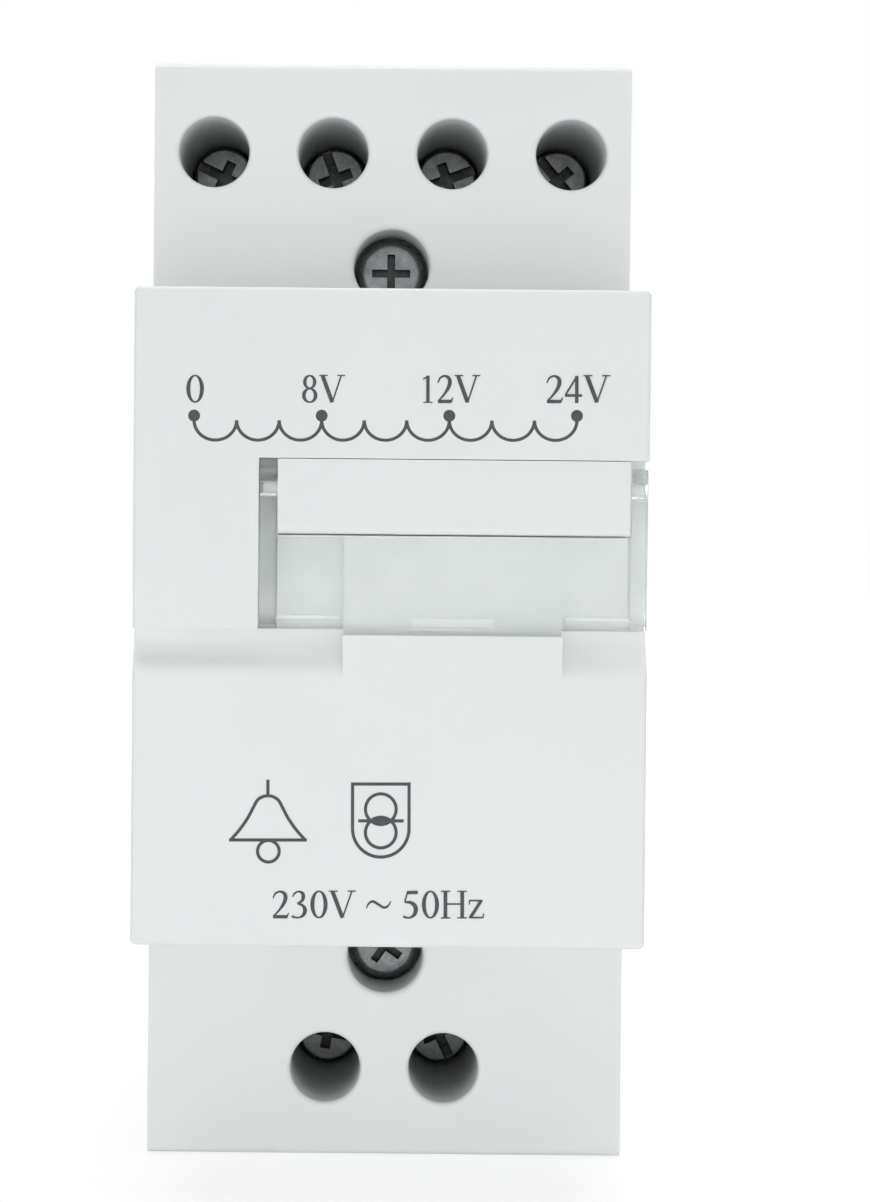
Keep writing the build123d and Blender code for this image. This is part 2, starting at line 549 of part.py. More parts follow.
def label_flap():
    """Build the clear flap: inset window plate, two hinge arms, bottom lips and the nail lug."""
    plate_y = (NOSE_Y + PLATE_INSET, NOSE_Y + FLAP_PLATE)
    plate_top = HINGE_BAR_Z[0] - PLATE_GAP
    tab_bottom = TAB_BOTTOM + FLAP_CLEARANCE
    flap = block((FLAP_LEFT, FLAP_RIGHT), plate_y, (FLAP_BOTTOM, plate_top))
    flap += block((TAB_X[0] + FLAP_CLEARANCE, TAB_X[1] - FLAP_CLEARANCE), plate_y, (tab_bottom, plate_top))
    for x in ((FLAP_LEFT, TAB_X[0] - LIP_END_GAP), (TAB_X[1] + LIP_END_GAP, FLAP_RIGHT)):
        flap += flap_lip(x)
    for x in ((FLAP_LEFT, FLAP_LEFT + ARM_WIDTH), (FLAP_RIGHT - ARM_WIDTH, FLAP_RIGHT)):
        flap += flap_arm(x)
    return flap + nail_lug(tab_bottom + LUG_RISE)


def rail_latch():
    """Build the sliding latch with its chamfered nose, guide wings, spring window and pull slot."""
    half = LATCH_WIDTH / 2
    nose = [(LATCH_Y[0], LATCH_BOTTOM), (LATCH_Y[0], LATCH_TOP), (LATCH_Y[1] - LATCH_NOSE_CHAMFER, LATCH_TOP),
            (LATCH_Y[1], LATCH_TOP - LATCH_NOSE_CHAMFER), (LATCH_Y[1], LATCH_BOTTOM)]
    latch = prism_x(nose, (-half, half))
    wing_y = (LATCH_Y[0], LATCH_Y[0] + LATCH_WING_THICKNESS)
    wing_z = (WINDOW_BOTTOM, SLOT_BOTTOM - LATCH_WING_DROP)
    latch += block((-half - LATCH_WING, half + LATCH_WING), wing_y, wing_z)
    through = (LATCH_Y[0] - WALL, LATCH_Y[1] + WALL)
    latch -= block((-SPRING_WINDOW / 2, SPRING_WINDOW / 2), through, (WINDOW_BOTTOM, WINDOW_TOP))
    pull = (LATCH_BOTTOM + WINDOW_BOTTOM) / 2
    return latch - block((-LATCH_PULL_WIDTH / 2, LATCH_PULL_WIDTH / 2), through,
                         (pull - LATCH_PULL_SLOT / 2, pull + LATCH_PULL_SLOT / 2))


def latch_spring():
    """Build the coil spring between the base's peg and the top of the latch window."""
    height = SPRING_LENGTH - 2 * (SPRING_WIRE + SPRING_END_GAP)
    path = Helix(height / SPRING_TURNS, height, SPRING_RADIUS)
    wire = Plane(origin=path @ 0, z_dir=path % 0) * Circle(SPRING_WIRE)
    coil = sweep(wire, path=path, is_frenet=True)
    return Pos(0, SPRING_Y, PEG_TOP + SPRING_WIRE + SPRING_END_GAP) * coil


def cross_recess(reach, width, y):
    """Return a plain cross-shaped driver recess."""
    along = block((-reach, reach), y, (-width / 2, width / 2))
    return along + block((-width / 2, width / 2), y, (-reach, reach))


def terminal_screw(angle):
    """Build a terminal screw with a combined slot and cross head, turned to its angle."""
    head = rod_y(SCREW_HEAD_RADIUS, (HEAD_Y, HEAD_UNDER_Y))
    head = fillet(rim_edges(head, SCREW_HEAD_RADIUS, HEAD_Y), SCREW_HEAD_ROUND)
    tip = BAR_FRONT_Y - SCREW_TIP_GAP
    shank = rod_y(SCREW_RADIUS, (HEAD_UNDER_Y, tip))
    shank = chamfer(rim_edges(shank, SCREW_RADIUS, tip), SCREW_TIP_CHAMFER)
    driver = cross_recess(CROSS_REACH, SLOT_WIDTH, (HEAD_Y, HEAD_Y + CROSS_DEPTH))
    driver += block((-2 * SCREW_HEAD_RADIUS, 2 * SCREW_HEAD_RADIUS), (HEAD_Y, HEAD_Y + SLOT_DEPTH),
                    (-SLOT_WIDTH / 2, SLOT_WIDTH / 2))
    return Rot(0, angle, 0) * (head + shank - driver)


def clamp_cage():
    """Build a rising clamp cage, threaded roof at the front and wire floor at the back."""
    half = CAGE_WIDTH / 2
    z = (-CAGE_LENGTH / 2, CAGE_LENGTH / 2)
    cage = block((-half, half), (CAGE_FRONT_Y, CAGE_BACK_Y), z)
    cage = fillet(cage.edges().filter_by(Axis.Z), CAGE_ROUND)
    cage -= block((-half + CAGE_SIDE, half - CAGE_SIDE), (CAGE_FRONT_Y + CAGE_ROOF, CAGE_FLOOR_Y),
                  (2 * z[0], 2 * z[1]))
    return cage - rod_y(SCREW_RADIUS + THREAD_CLEARANCE, (CAGE_FRONT_Y - WALL, CAGE_FRONT_Y + 2 * CAGE_ROOF))


def terminal_bar():
    """Build a fixed contact bar that runs through the cage to a solder tag."""
    half = CAGE_WIDTH / 2 - CAGE_SIDE - BAR_CLEARANCE
    inner = CELL_INNER_Z - TERMINAL_Z
    outer = TERMINAL_EDGE - WALL - BAR_END_GAP
    bar = block((-half, half), (BAR_FRONT_Y, BAR_BACK_Y), (inner - CELL_WALL, outer))
    return bar + block((-TAG_WIDTH / 2, TAG_WIDTH / 2), (BAR_FRONT_Y, BAR_BACK_Y),
                       (inner - CELL_WALL - TAG_LENGTH, inner))


def case_screw():
    """Build a pan-head case screw with a cross recess."""
    top = CASE_SEAT_Y - CASE_HEAD_HEIGHT
    head = rod_y(CASE_HEAD_RADIUS, (top, CASE_SEAT_Y))
    head = fillet(rim_edges(head, CASE_HEAD_RADIUS, top), CASE_HEAD_ROUND)
    shank = rod_y(CASE_SCREW_RADIUS, (CASE_SEAT_Y, CASE_TIP_Y))
    shank = chamfer(rim_edges(shank, CASE_SCREW_RADIUS, CASE_TIP_Y), CASE_SCREW_RADIUS / 2)
    return head + shank - cross_recess(CASE_CROSS_REACH, CASE_CROSS_WIDTH, (top, top + CASE_CROSS_DEPTH))


def core_e_stack():
    """Build the stack of E sheets, yoke at the front and three legs back."""
    x = (-CORE_STACK / 2, CORE_STACK / 2)
    stack = block(x, (CORE_FRONT_Y, CORE_FRONT_Y + 4 * CORE_LEG), (-CORE_HALF_HEIGHT, CORE_HALF_HEIGHT))
    for z in both_ends((CORE_LEG, 2 * CORE_LEG)):
        stack -= block((2 * x[0], 2 * x[1]), (CORE_FRONT_Y + CORE_LEG, CORE_BACK_Y), z)
    return stack


def core_i_stack():
    """Build the stack of I sheets that closes the core at the back."""
    return block((-CORE_STACK / 2, CORE_STACK / 2), (CORE_BACK_Y - CORE_LEG, CORE_BACK_Y),
                 (-CORE_HALF_HEIGHT, CORE_HALF_HEIGHT))


def bobbin():
    """Build the two-chamber bobbin that slides over the middle leg."""
    ends = (BOBBIN_FRONT_Y, BOBBIN_BACK_Y)
    body = block((-TUBE_HALF_X, TUBE_HALF_X), ends, (-TUBE_HALF_Z, TUBE_HALF_Z))
    flange_x = INNER_HALF_WIDTH - FLANGE_GAP
    flange_z = 2 * CORE_LEG - BOBBIN_CLEARANCE
    for y in (BOBBIN_FRONT_Y, SECONDARY_Y[1], BOBBIN_BACK_Y - FLANGE):
        body += block((-flange_x, flange_x), (y, y + FLANGE), (-flange_z, flange_z))
    hole_x = TUBE_HALF_X - BOBBIN_WALL
    hole_z = TUBE_HALF_Z - BOBBIN_WALL
    return body - block((-hole_x, hole_x), (ends[0] - WALL, ends[1] + WALL), (-hole_z, hole_z))


def winding(y):
    """Build one winding as a rounded block of wire on the bobbin tube."""
    core = block((-TUBE_HALF_X, TUBE_HALF_X), y, (-TUBE_HALF_Z, TUBE_HALF_Z))
    return sleeve(COIL_HALF_X, COIL_HALF_Z, WINDING_ROUND, y) - core


def tape(y):
    """Build the insulating tape wrapped round one winding."""
    wrap = sleeve(COIL_HALF_X + TAPE, COIL_HALF_Z + TAPE, WINDING_ROUND + TAPE, y)
    return wrap - sleeve(COIL_HALF_X, COIL_HALF_Z, WINDING_ROUND, y)


def thermal_cutout():
    """Build the flat thermal cut-out that lies on the primary tape."""
    face = COIL_HALF_X + TAPE
    middle = sum(PRIMARY_Y) / 2
    half = CUTOUT_SIZE / 2
    body = block((face, face + CUTOUT_THICKNESS), (middle - half, middle + half), (-half, half))
    return fillet(body.edges().filter_by(Axis.X), CUTOUT_ROUND)


def lead(start, turn, end):
    """Build a round lead that leaves the coil, passes the core and drops onto a solder tag."""
    corner = (end[0], SECONDARY_Y[0] + SECONDARY_LENGTH / 2, end[2])
    path = FilletPolyline(start, turn, corner, end, radius=LEAD_BEND)
    section = Plane(origin=path @ 0, z_dir=path % 0) * Circle(LEAD_RADIUS)
    return sweep(section, path=path)


def leads():
    """Return all six leads by name, the secondary ones upwards and the primary ones downwards."""
    near = CORE_STACK / 2 + LEAD_GAP + LEAD_RADIUS
    far = near + 2 * LEAD_RADIUS + LEAD_SPACING
    top = COIL_HALF_Z + TAPE
    middle = sum(SECONDARY_Y) / 2
    wires = {}
    for index, name in enumerate(TOP_TERMINALS):
        x = (index - (TERMINALS_ACROSS - 1) / 2) * TERMINAL_PITCH
        side = 1 if x > 0 else -1
        away = side * (far if abs(x) > TERMINAL_PITCH else near)
        wires[f"lead_{name}"] = lead((away, middle, top), (away, middle, CORE_HALF_HEIGHT),
                                     (x, BAR_FRONT_Y, TAG_Z))
    depth = PRIMARY_Y[0] + LEAD_INSET
    for index, name in enumerate(BOTTOM_TERMINALS):
        x = (index - 0.5) * TERMINAL_PITCH
        away = near if x > 0 else -near
        wires[f"lead_{name}"] = lead((away, depth, -top), (away, depth, -CORE_HALF_HEIGHT),
                                     (x, BAR_FRONT_Y, -TAG_Z))
    return wires


def build_parts():
    """Return every part of the transformer by name."""
    parts = {
        "front_housing": front_housing(),
        "rear_base": rear_base(),
        "hinge_bar": hinge_bar(),
        "label_flap": label_flap(),
        "rail_latch": rail_latch(),
        "latch_spring": latch_spring(),
        "case_screw_top": Pos(0, 0, CASE_SCREW_Z) * case_screw(),
        "case_screw_bottom": Pos(0, 0, -CASE_SCREW_Z) * Rot(0, 35, 0) * case_screw(),
        "core_e_stack": core_e_stack(),
        "core_i_stack": core_i_stack(),
        "bobbin": bobbin(),
        "primary_winding": winding(PRIMARY_Y),
        "secondary_winding": winding(SECONDARY_Y),
        "primary_tape": tape(PRIMARY_Y),
        "secondary_tape": tape(SECONDARY_Y),
        "thermal_cutout": thermal_cutout(),
    }
    for name, place in terminal_places().items():
        parts[f"terminal_screw_{name}"] = place * terminal_screw(SLOT_ANGLES[name])
        parts[f"clamp_cage_{name}"] = place * clamp_cage()
        parts[f"terminal_bar_{name}"] = place * terminal_bar()
    parts.update(leads())
    return parts


os.makedirs("parts", exist_ok=True)
for node, shape in build_parts().items():
    export_step(shape, f"parts/{node}.step")
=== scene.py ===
"""Looks for a two-module doorbell transformer: finishes, front print, latch coil and studio.

Lengths in the fields are in millimetres, in the same frame as the solids, and become metres when a mesh is made.
"""

import logging
import math
from dataclasses import dataclass
from enum import Enum
from typing import Any, ClassVar, Iterable, Sequence

import bmesh
import bpy
from mathutils import Matrix, Vector

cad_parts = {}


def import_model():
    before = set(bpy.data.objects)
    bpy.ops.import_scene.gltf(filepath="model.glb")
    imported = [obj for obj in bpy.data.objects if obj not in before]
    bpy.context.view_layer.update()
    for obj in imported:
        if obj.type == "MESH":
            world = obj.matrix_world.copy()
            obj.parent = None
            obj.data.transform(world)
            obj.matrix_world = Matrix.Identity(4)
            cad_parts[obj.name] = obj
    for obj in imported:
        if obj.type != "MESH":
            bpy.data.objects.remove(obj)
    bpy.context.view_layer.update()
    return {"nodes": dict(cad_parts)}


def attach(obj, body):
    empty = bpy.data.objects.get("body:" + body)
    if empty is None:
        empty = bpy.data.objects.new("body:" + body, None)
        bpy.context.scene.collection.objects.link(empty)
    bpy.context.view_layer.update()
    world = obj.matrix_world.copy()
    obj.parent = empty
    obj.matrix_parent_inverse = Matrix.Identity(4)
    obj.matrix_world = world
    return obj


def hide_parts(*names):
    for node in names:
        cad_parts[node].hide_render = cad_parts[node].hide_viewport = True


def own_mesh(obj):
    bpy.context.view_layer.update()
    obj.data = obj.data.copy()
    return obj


LOG = logging.getLogger("bell_transformer")
MM = 0.001
Colour = tuple[int, int, int]
Point = tuple[float, float]
Span = tuple[float, float]
Triple = tuple[float, float, float]
Socket = bpy.types.NodeSocket
Stroke = list[Triple]


class Tap(Enum):
    """The six terminals, by the name that their nodes end in."""

    ZERO = "0v"
    EIGHT = "8v"
    TWELVE = "12v"
    TWENTY_FOUR = "24v"
    LIVE = "live"
    NEUTRAL = "neutral"


class Ray(Enum):
    """The rays that see the white of the studio."""

    CAMERA = "Is Camera Ray"
    GLOSSY = "Is Glossy Ray"
    TRANSMISSION = "Is Transmission Ray"


def linear(colour: Colour) -> tuple[float, float, float, float]:
    """Turns a screen colour into the linear colour that a shader takes.

    Args:
        colour: Red, green and blue from 0 to 255.

    Returns:
        Linear red, green and blue from 0 to 1, with full alpha.
    """
    parts = [c / 255.0 for c in colour]
    red, green, blue = [p / 12.92 if p <= 0.04045 else ((p + 0.055) / 1.055) ** 2.4 for p in parts]
    return red, green, blue, 1.0


class Graph:
    """The nodes of one material, with short ways to add and join them."""

    NOISE_SPAN: ClassVar[Span] = (0.3, 0.7)  # nearly all of a noise pattern lies between these
    WAVE_RATE: ClassVar[float] = 20.0  # radians that a wave pattern runs for each unit of its scale
    SKY_SAMPLES: ClassVar[int] = 8

    def __init__(self, name: str) -> None:
        """Starts a material.

        Args:
            name: The material's name.
        """
        self.material = bpy.data.materials.new(name)
        self.material.use_nodes = True
        self.tree = self.material.node_tree
        self.shader = self.tree.nodes["Principled BSDF"]

    def add(self, kind: str, values: dict[str, Any] | None = None, **settings: Any) -> bpy.types.Node:
        """Adds a node.

        Args:
            kind: The node's type name.
            values: Socket names and what they are set to.
            **settings: Attributes of the node itself.

        Returns:
            The new node.
        """
        node = self.tree.nodes.new(kind)
        for key, value in settings.items():
            setattr(node, key, value)
        for key, value in (values or {}).items():
            node.inputs[key].default_value = value
        return node

    def link(self, start: Socket, end: Socket) -> None:
        """Joins two sockets."""
        self.tree.links.new(start, end)

    def constants(self, **values: Any) -> None:
        """Sets sockets of the main shader, with underscores for the spaces in their names."""
        for key, value in values.items():
            self.shader.inputs[key.replace("_", " ")].default_value = value

    def place(self) -> Socket:
        """Gives the piece's own coordinates, in metres."""
        return self.add("ShaderNodeTexCoord").outputs["Object"]

    def noise(self, size: float, detail: float = 2.0, stretch: Sequence[float] = (1, 1, 1)) -> Socket:
        """Adds a noise pattern.

        Args:
            size: The length of one patch.
            detail: How many finer layers it has.
            stretch: How many times longer the patches are along X, Y and Z.

        Returns:
            The noise from 0 to 1.
        """
        turn = self.add("ShaderNodeMapping", {"Scale": [1 / s for s in stretch]})
        pattern = self.add("ShaderNodeTexNoise", {"Scale": 1 / (size * MM), "Detail": detail})
        self.link(self.place(), turn.inputs["Vector"])
        self.link(turn.outputs["Vector"], pattern.inputs["Vector"])
        return pattern.outputs[0]

    def bands(self, pitch: float, direction: str, wander: float = 0.0) -> Socket:
        """Adds even stripes.

        Args:
            pitch: The length from one stripe to the next.
            direction: The axis that the stripes follow one another along.
            wander: How far they stray from straight.

        Returns:
            The stripes from 0 to 1.
        """
        values = {"Scale": 2 * math.pi / (self.WAVE_RATE * pitch * MM), "Distortion": wander, "Detail": 1.0}
        pattern = self.add("ShaderNodeTexWave", values, bands_direction=direction)
        self.link(self.place(), pattern.inputs["Vector"])
        return pattern.outputs["Fac"]

    def spread(self, source: Socket, low: float, high: float) -> Socket:
        """Spreads a pattern over a range of values.

        Args:
            source: The pattern.
            low: What its low end becomes.
            high: What its high end becomes.

        Returns:
            The pattern over the new range.
        """
        least, most = self.NOISE_SPAN
        node = self.add("ShaderNodeMapRange", {"From Min": least, "From Max": most, "To Min": low, "To Max": high})
        self.link(source, node.inputs["Value"])
        return node.outputs["Result"]

    def blend(self, factor: Socket, first: Any, second: Any) -> Socket:
        """Blends two colours by a pattern.

        Args:
            factor: The pattern, where 0 gives the first colour.
            first: A colour or a socket.
            second: A colour or a socket.

        Returns:
            The blended colour.
        """
        node = self.add("ShaderNodeMix", data_type="RGBA")
        self.link(factor, node.inputs[0])
        for place, colour in ((6, first), (7, second)):
            if isinstance(colour, Socket):
                self.link(colour, node.inputs[place])
            else:
                node.inputs[place].default_value = colour
        return node.outputs[2]

    def bump(self, height: Socket, rise: float, strength: float = 1.0, under: Socket | None = None) -> Socket:
        """Raises the surface by a pattern.

        Args:
            height: The pattern.
            rise: How high it stands.
            strength: How strongly it shows.
            under: A bump that this one lies on.

        Returns:
            The bumped normal.
        """
        node = self.add("ShaderNodeBump", {"Strength": strength, "Distance": rise * MM})
        self.link(height, node.inputs["Height"])
        if under is not None:
            self.link(under, node.inputs["Normal"])
        return node.outputs["Normal"]

    def openness(self, reach: float, low: float, high: float) -> Socket:
        """Measures how open a spot lies, from its own piece only; the finishes use it as the mask for painted shade.

        Args:
            reach: How far off a wall still counts.
            low: The share of open sky that gives 0.
            high: The share that gives 1.

        Returns:
            The openness from 0 to 1.
        """
        sky = self.add("ShaderNodeAmbientOcclusion", {"Distance": reach * MM}, samples=self.SKY_SAMPLES,
                       only_local=True)
        node = self.add("ShaderNodeMapRange", {"From Min": low, "From Max": high, "To Min": 0.0, "To Max": 1.0},
                        interpolation_type="SMOOTHSTEP")
        self.link(sky.outputs["AO"], node.inputs["Value"])
        return node.outputs["Result"]

    def let_lamps_through(self, tint: Sequence[float]) -> bpy.types.Material:
        """Lets light from the lamps pass the surface to what lies behind it.

        Args:
            tint: How much of each colour passes.

        Returns:
            The finished material.
        """
        path, choice = self.add("ShaderNodeLightPath"), self.add("ShaderNodeMixShader")
        clear = self.add("ShaderNodeBsdfTransparent", {"Color": tint})
        either = self.add("ShaderNodeMath", operation="MAXIMUM")
        self.link(path.outputs["Is Shadow Ray"], either.inputs[0])
        self.link(path.outputs["Is Diffuse Ray"], either.inputs[1])
        self.link(either.outputs[0], choice.inputs[0])
        self.link(self.shader.outputs[0], choice.inputs[1])
        self.link(clear.outputs[0], choice.inputs[2])
        self.link(choice.outputs[0], self.tree.nodes["Material Output"].inputs["Surface"])
        return self.material

    def finish(self, **sockets: Socket) -> bpy.types.Material:
        """Joins patterns to the main shader.

        Args:
            **sockets: The shader's sockets by name, with underscores for spaces.

        Returns:
            The finished material.
        """
        for key, value in sockets.items():
            self.link(value, self.shader.inputs[key.replace("_", " ")])
        return self.material


@dataclass(frozen=True)
class MouldedPlastic:
    """Satin moulded plastic with a fine spark-eroded grain."""

    name: str
    colour: Colour
    cloud: Colour
    # colour of the painted shade in narrow recesses
    recess_shade: Colour
    roughness: Span = (0.40, 0.50)
    grain: float = 0.16
    rise: float = 0.006
    reach: float = 9.0
    open_share: Span = (0.04, 0.40)
    cloud_size: float = 14.0
    gloss_size: float = 1.4
    ripple_size: float = 5.0
    ripple_rise: float = 0.03

    def material(self) -> bpy.types.Material:
        """Builds the plastic, with painted shade that greys it in narrow, sunken recesses.

        Returns:
            The finished material.
        """
        graph = Graph(self.name)
        grain = graph.noise(self.grain, 3.0)
        patches = graph.spread(graph.noise(self.cloud_size, 3.0), 0.0, 1.0)
        cloud = graph.blend(patches, linear(self.colour), linear(self.cloud))
        # painted shade: the colour blends towards the recess shade colour where ambient occlusion finds little open
        # sky
        colour = graph.blend(graph.openness(self.reach, *self.open_share), linear(self.recess_shade), cloud)
        ripple = graph.bump(graph.noise(self.ripple_size, 1.0), self.ripple_rise, 0.35)
        return graph.finish(Base_Color=colour, Roughness=graph.spread(graph.noise(self.gloss_size), *self.roughness),
                            Normal=graph.bump(grain, self.rise, 0.5, ripple))


@dataclass(frozen=True)
class ClearPlastic:
    """Clear moulded sheet with fine wiping marks."""

    name: str
    colour: Colour
    passes: Colour = (252, 253, 252)
    ior: float = 1.55
    roughness: Span = (0.03, 0.10)
    wipe_size: float = 0.5
    wipe_stretch: Triple = (14, 1, 1)
    wipe_rise: float = 0.002
    cloud_size: float = 3.0
    cloud_drop: int = 5

    def material(self) -> bpy.types.Material:
        """Builds the clear plastic.

        Returns:
            The finished material.
        """
        graph = Graph(self.name)
        graph.constants(IOR=self.ior, Transmission_Weight=1.0)
        wipe = graph.noise(self.wipe_size, 4.0, self.wipe_stretch)
        cloud = linear(tuple(c - self.cloud_drop for c in self.colour))
        tint = graph.blend(graph.noise(self.cloud_size), linear(self.colour), cloud)
        graph.finish(Base_Color=tint, Roughness=graph.spread(wipe, *self.roughness),
                     Normal=graph.bump(wipe, self.wipe_rise, 0.2))
        return graph.let_lamps_through(linear(self.passes))


@dataclass(frozen=True)
class PlatedMetal:
    """Bright metal with fine tool marks and a patchy bloom."""

    name: str
    colour: Colour
    bloom: Colour
    # colour of the painted shade down in slots and corners
    slot_shade: Colour
    roughness: Span = (0.24, 0.42)
    marks: Triple = (1, 1, 1)
    mark_size: float = 0.22
    mark_rise: float = 0.008
    bloom_size: float = 0.9
    reach: float = 1.6
    open_share: Span = (0.5, 0.95)

    def material(self) -> bpy.types.Material:
        """Builds the metal, with painted shade that darkens it down in its slots and corners.

        Returns:
            The finished material.
        """
        graph = Graph(self.name)
        graph.constants(Metallic=1.0)
        bloom = graph.spread(graph.noise(self.bloom_size, 4.0), 0.0, 1.0)
        scratch = graph.noise(self.mark_size, 3.0, self.marks)
        face = graph.blend(bloom, linear(self.colour), linear(self.bloom))
        # painted shade: the colour blends towards the slot shade colour where ambient occlusion finds little open sky
        colour = graph.blend(graph.openness(self.reach, *self.open_share), linear(self.slot_shade), face)
        return graph.finish(Base_Color=colour, Roughness=graph.spread(scratch, *self.roughness),
                            Normal=graph.bump(scratch, self.mark_rise, 0.4))


@dataclass(frozen=True)
class Striped:
    """A material built up of even layers or turns, such as a core of sheets or a wound coil."""

    name: str
    colour: Colour
    gap: Colour
    pitch: float
    direction: str
    metallic: float = 0.0
    roughness: Span = (0.35, 0.5)
    wander: float = 0.0
    rise: float = 0.06
    crest: Span = (0.05, 0.45)
    mottle_size: float = 2.0
    mottle_share: float = 0.9
    gloss_size: float = 0.6

    def material(self) -> bpy.types.Material:
        """Builds the layers.

        Returns:
            The finished material.
        """
        graph = Graph(self.name)
        graph.constants(Metallic=self.metallic)
        layer = graph.bands(self.pitch, self.direction, self.wander)
        low, high = self.crest
        crest = graph.add("ShaderNodeMapRange", {"From Min": low, "From Max": high})
        graph.link(layer, crest.inputs["Value"])
        darker = linear(tuple(int(c * self.mottle_share) for c in self.colour))
        mottle = graph.blend(graph.noise(self.mottle_size, 3.0), linear(self.colour), darker)
        return graph.finish(Base_Color=graph.blend(crest.outputs["Result"], linear(self.gap), mottle),
                            Roughness=graph.spread(graph.noise(self.gloss_size), *self.roughness),
                            Normal=graph.bump(layer, self.rise, 0.6))


@dataclass(frozen=True)
class PrintInk:
    """Dark pad-printed ink, a little thin in places."""

    name: str
    colour: Colour
    thin: Colour
    roughness: Span = (0.5, 0.65)
    patch_size: float = 0.35
    gloss_size: float = 0.2
    grain: float = 0.08
    rise: float = 0.003

    def material(self) -> bpy.types.Material:
        """Builds the ink.

        Returns:
            The finished material.
        """
        graph = Graph(self.name)
        patch = graph.spread(graph.noise(self.patch_size, 4.0), 0.0, 1.0)
        return graph.finish(Base_Color=graph.blend(patch, linear(self.colour), linear(self.thin)),
                            Roughness=graph.spread(graph.noise(self.gloss_size), *self.roughness),
                            Normal=graph.bump(graph.noise(self.grain), self.rise, 0.3))


Finish = MouldedPlastic | ClearPlastic | PlatedMetal | Striped | PrintInk


class Palette:
    """Makes each material once and puts it on nodes and pieces."""

    FINISHES: tuple[Finish, ...] = (
        MouldedPlastic("housing_white", (231, 234, 234), (228, 232, 232), (198, 201, 201)),
        MouldedPlastic("latch_grey", (168, 172, 172), (160, 165, 166), (70, 72, 72)),
        MouldedPlastic("bobbin_plastic", (222, 214, 190), (216, 207, 182), (150, 142, 118)),
        MouldedPlastic("cutout_black", (44, 45, 47), (38, 39, 41), (20, 20, 20)),
        MouldedPlastic("lead_black", (38, 38, 40), (32, 32, 34), (18, 18, 18), (0.34, 0.44)),
        MouldedPlastic("lead_red", (176, 38, 34), (164, 34, 32), (80, 16, 14), (0.34, 0.44)),
        MouldedPlastic("lead_brown", (104, 66, 42), (94, 58, 38), (48, 30, 20), (0.34, 0.44)),
        MouldedPlastic("lead_blue", (44, 92, 160), (38, 84, 150), (18, 40, 70), (0.34, 0.44)),
        ClearPlastic("flap_clear", (236, 238, 237)),
        PlatedMetal("zinc_steel", (150, 153, 154), (124, 127, 128), (66, 67, 68)),
        PlatedMetal("spring_steel", (176, 176, 174), (150, 150, 148), (90, 90, 90), (0.2, 0.34), (1, 1, 6)),
        PlatedMetal("bar_brass", (206, 172, 104), (188, 150, 86), (84, 62, 30)),
        Striped("core_steel", (118, 122, 128), (56, 58, 62), 0.5, "X", 1.0, (0.35, 0.55), 0.0, 0.05),
        Striped("copper_wire", (188, 104, 62), (92, 42, 22), 0.24, "Y", 1.0, (0.2, 0.32), 0.4, 0.10),
        Striped("tape_yellow", (222, 186, 76), (206, 168, 60), 5.5, "Y", 0.0, (0.22, 0.34), 1.5, 0.02),
        PrintInk("print_grey", (62, 68, 69), (76, 82, 83)),
    )

    def __init__(self, nodes: dict[str, bpy.types.Object]) -> None:
        """Builds every material.

        Args:
            nodes: The frame's nodes by name.
        """
        self.nodes = nodes
        self.materials = {finish.name: finish.material() for finish in self.FINISHES}

    def dress(self, name: str, *nodes: str) -> None:
        """Puts one finish on nodes of the frame.

        Args:
            name: The finish.
            *nodes: The nodes that take it.
        """
        for node in nodes:
            slots = self.nodes[node].data.materials
            if len(slots):
                slots[0] = self.materials[name]
            else:
                slots.append(self.materials[name])
        LOG.info("%s on %s", name, ", ".join(nodes))

    def piece(self, name: str, mesh: bpy.types.Mesh, finish: str, body: str) -> bpy.types.Object:
        """Makes a new piece that moves with a body.

        Args:
            name: The piece's name.
            mesh: Its mesh, already in place.
            finish: The finish that it takes.
            body: The body that it rides on.

        Returns:
            The new object.
        """
        mesh.materials.clear()
        mesh.materials.append(self.materials[finish])
        thing = bpy.data.objects.new(name, mesh)
        bpy.context.scene.collection.objects.link(thing)
        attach(thing, body)
        LOG.info("piece %s, %d faces", name, len(mesh.polygons))
        return thing


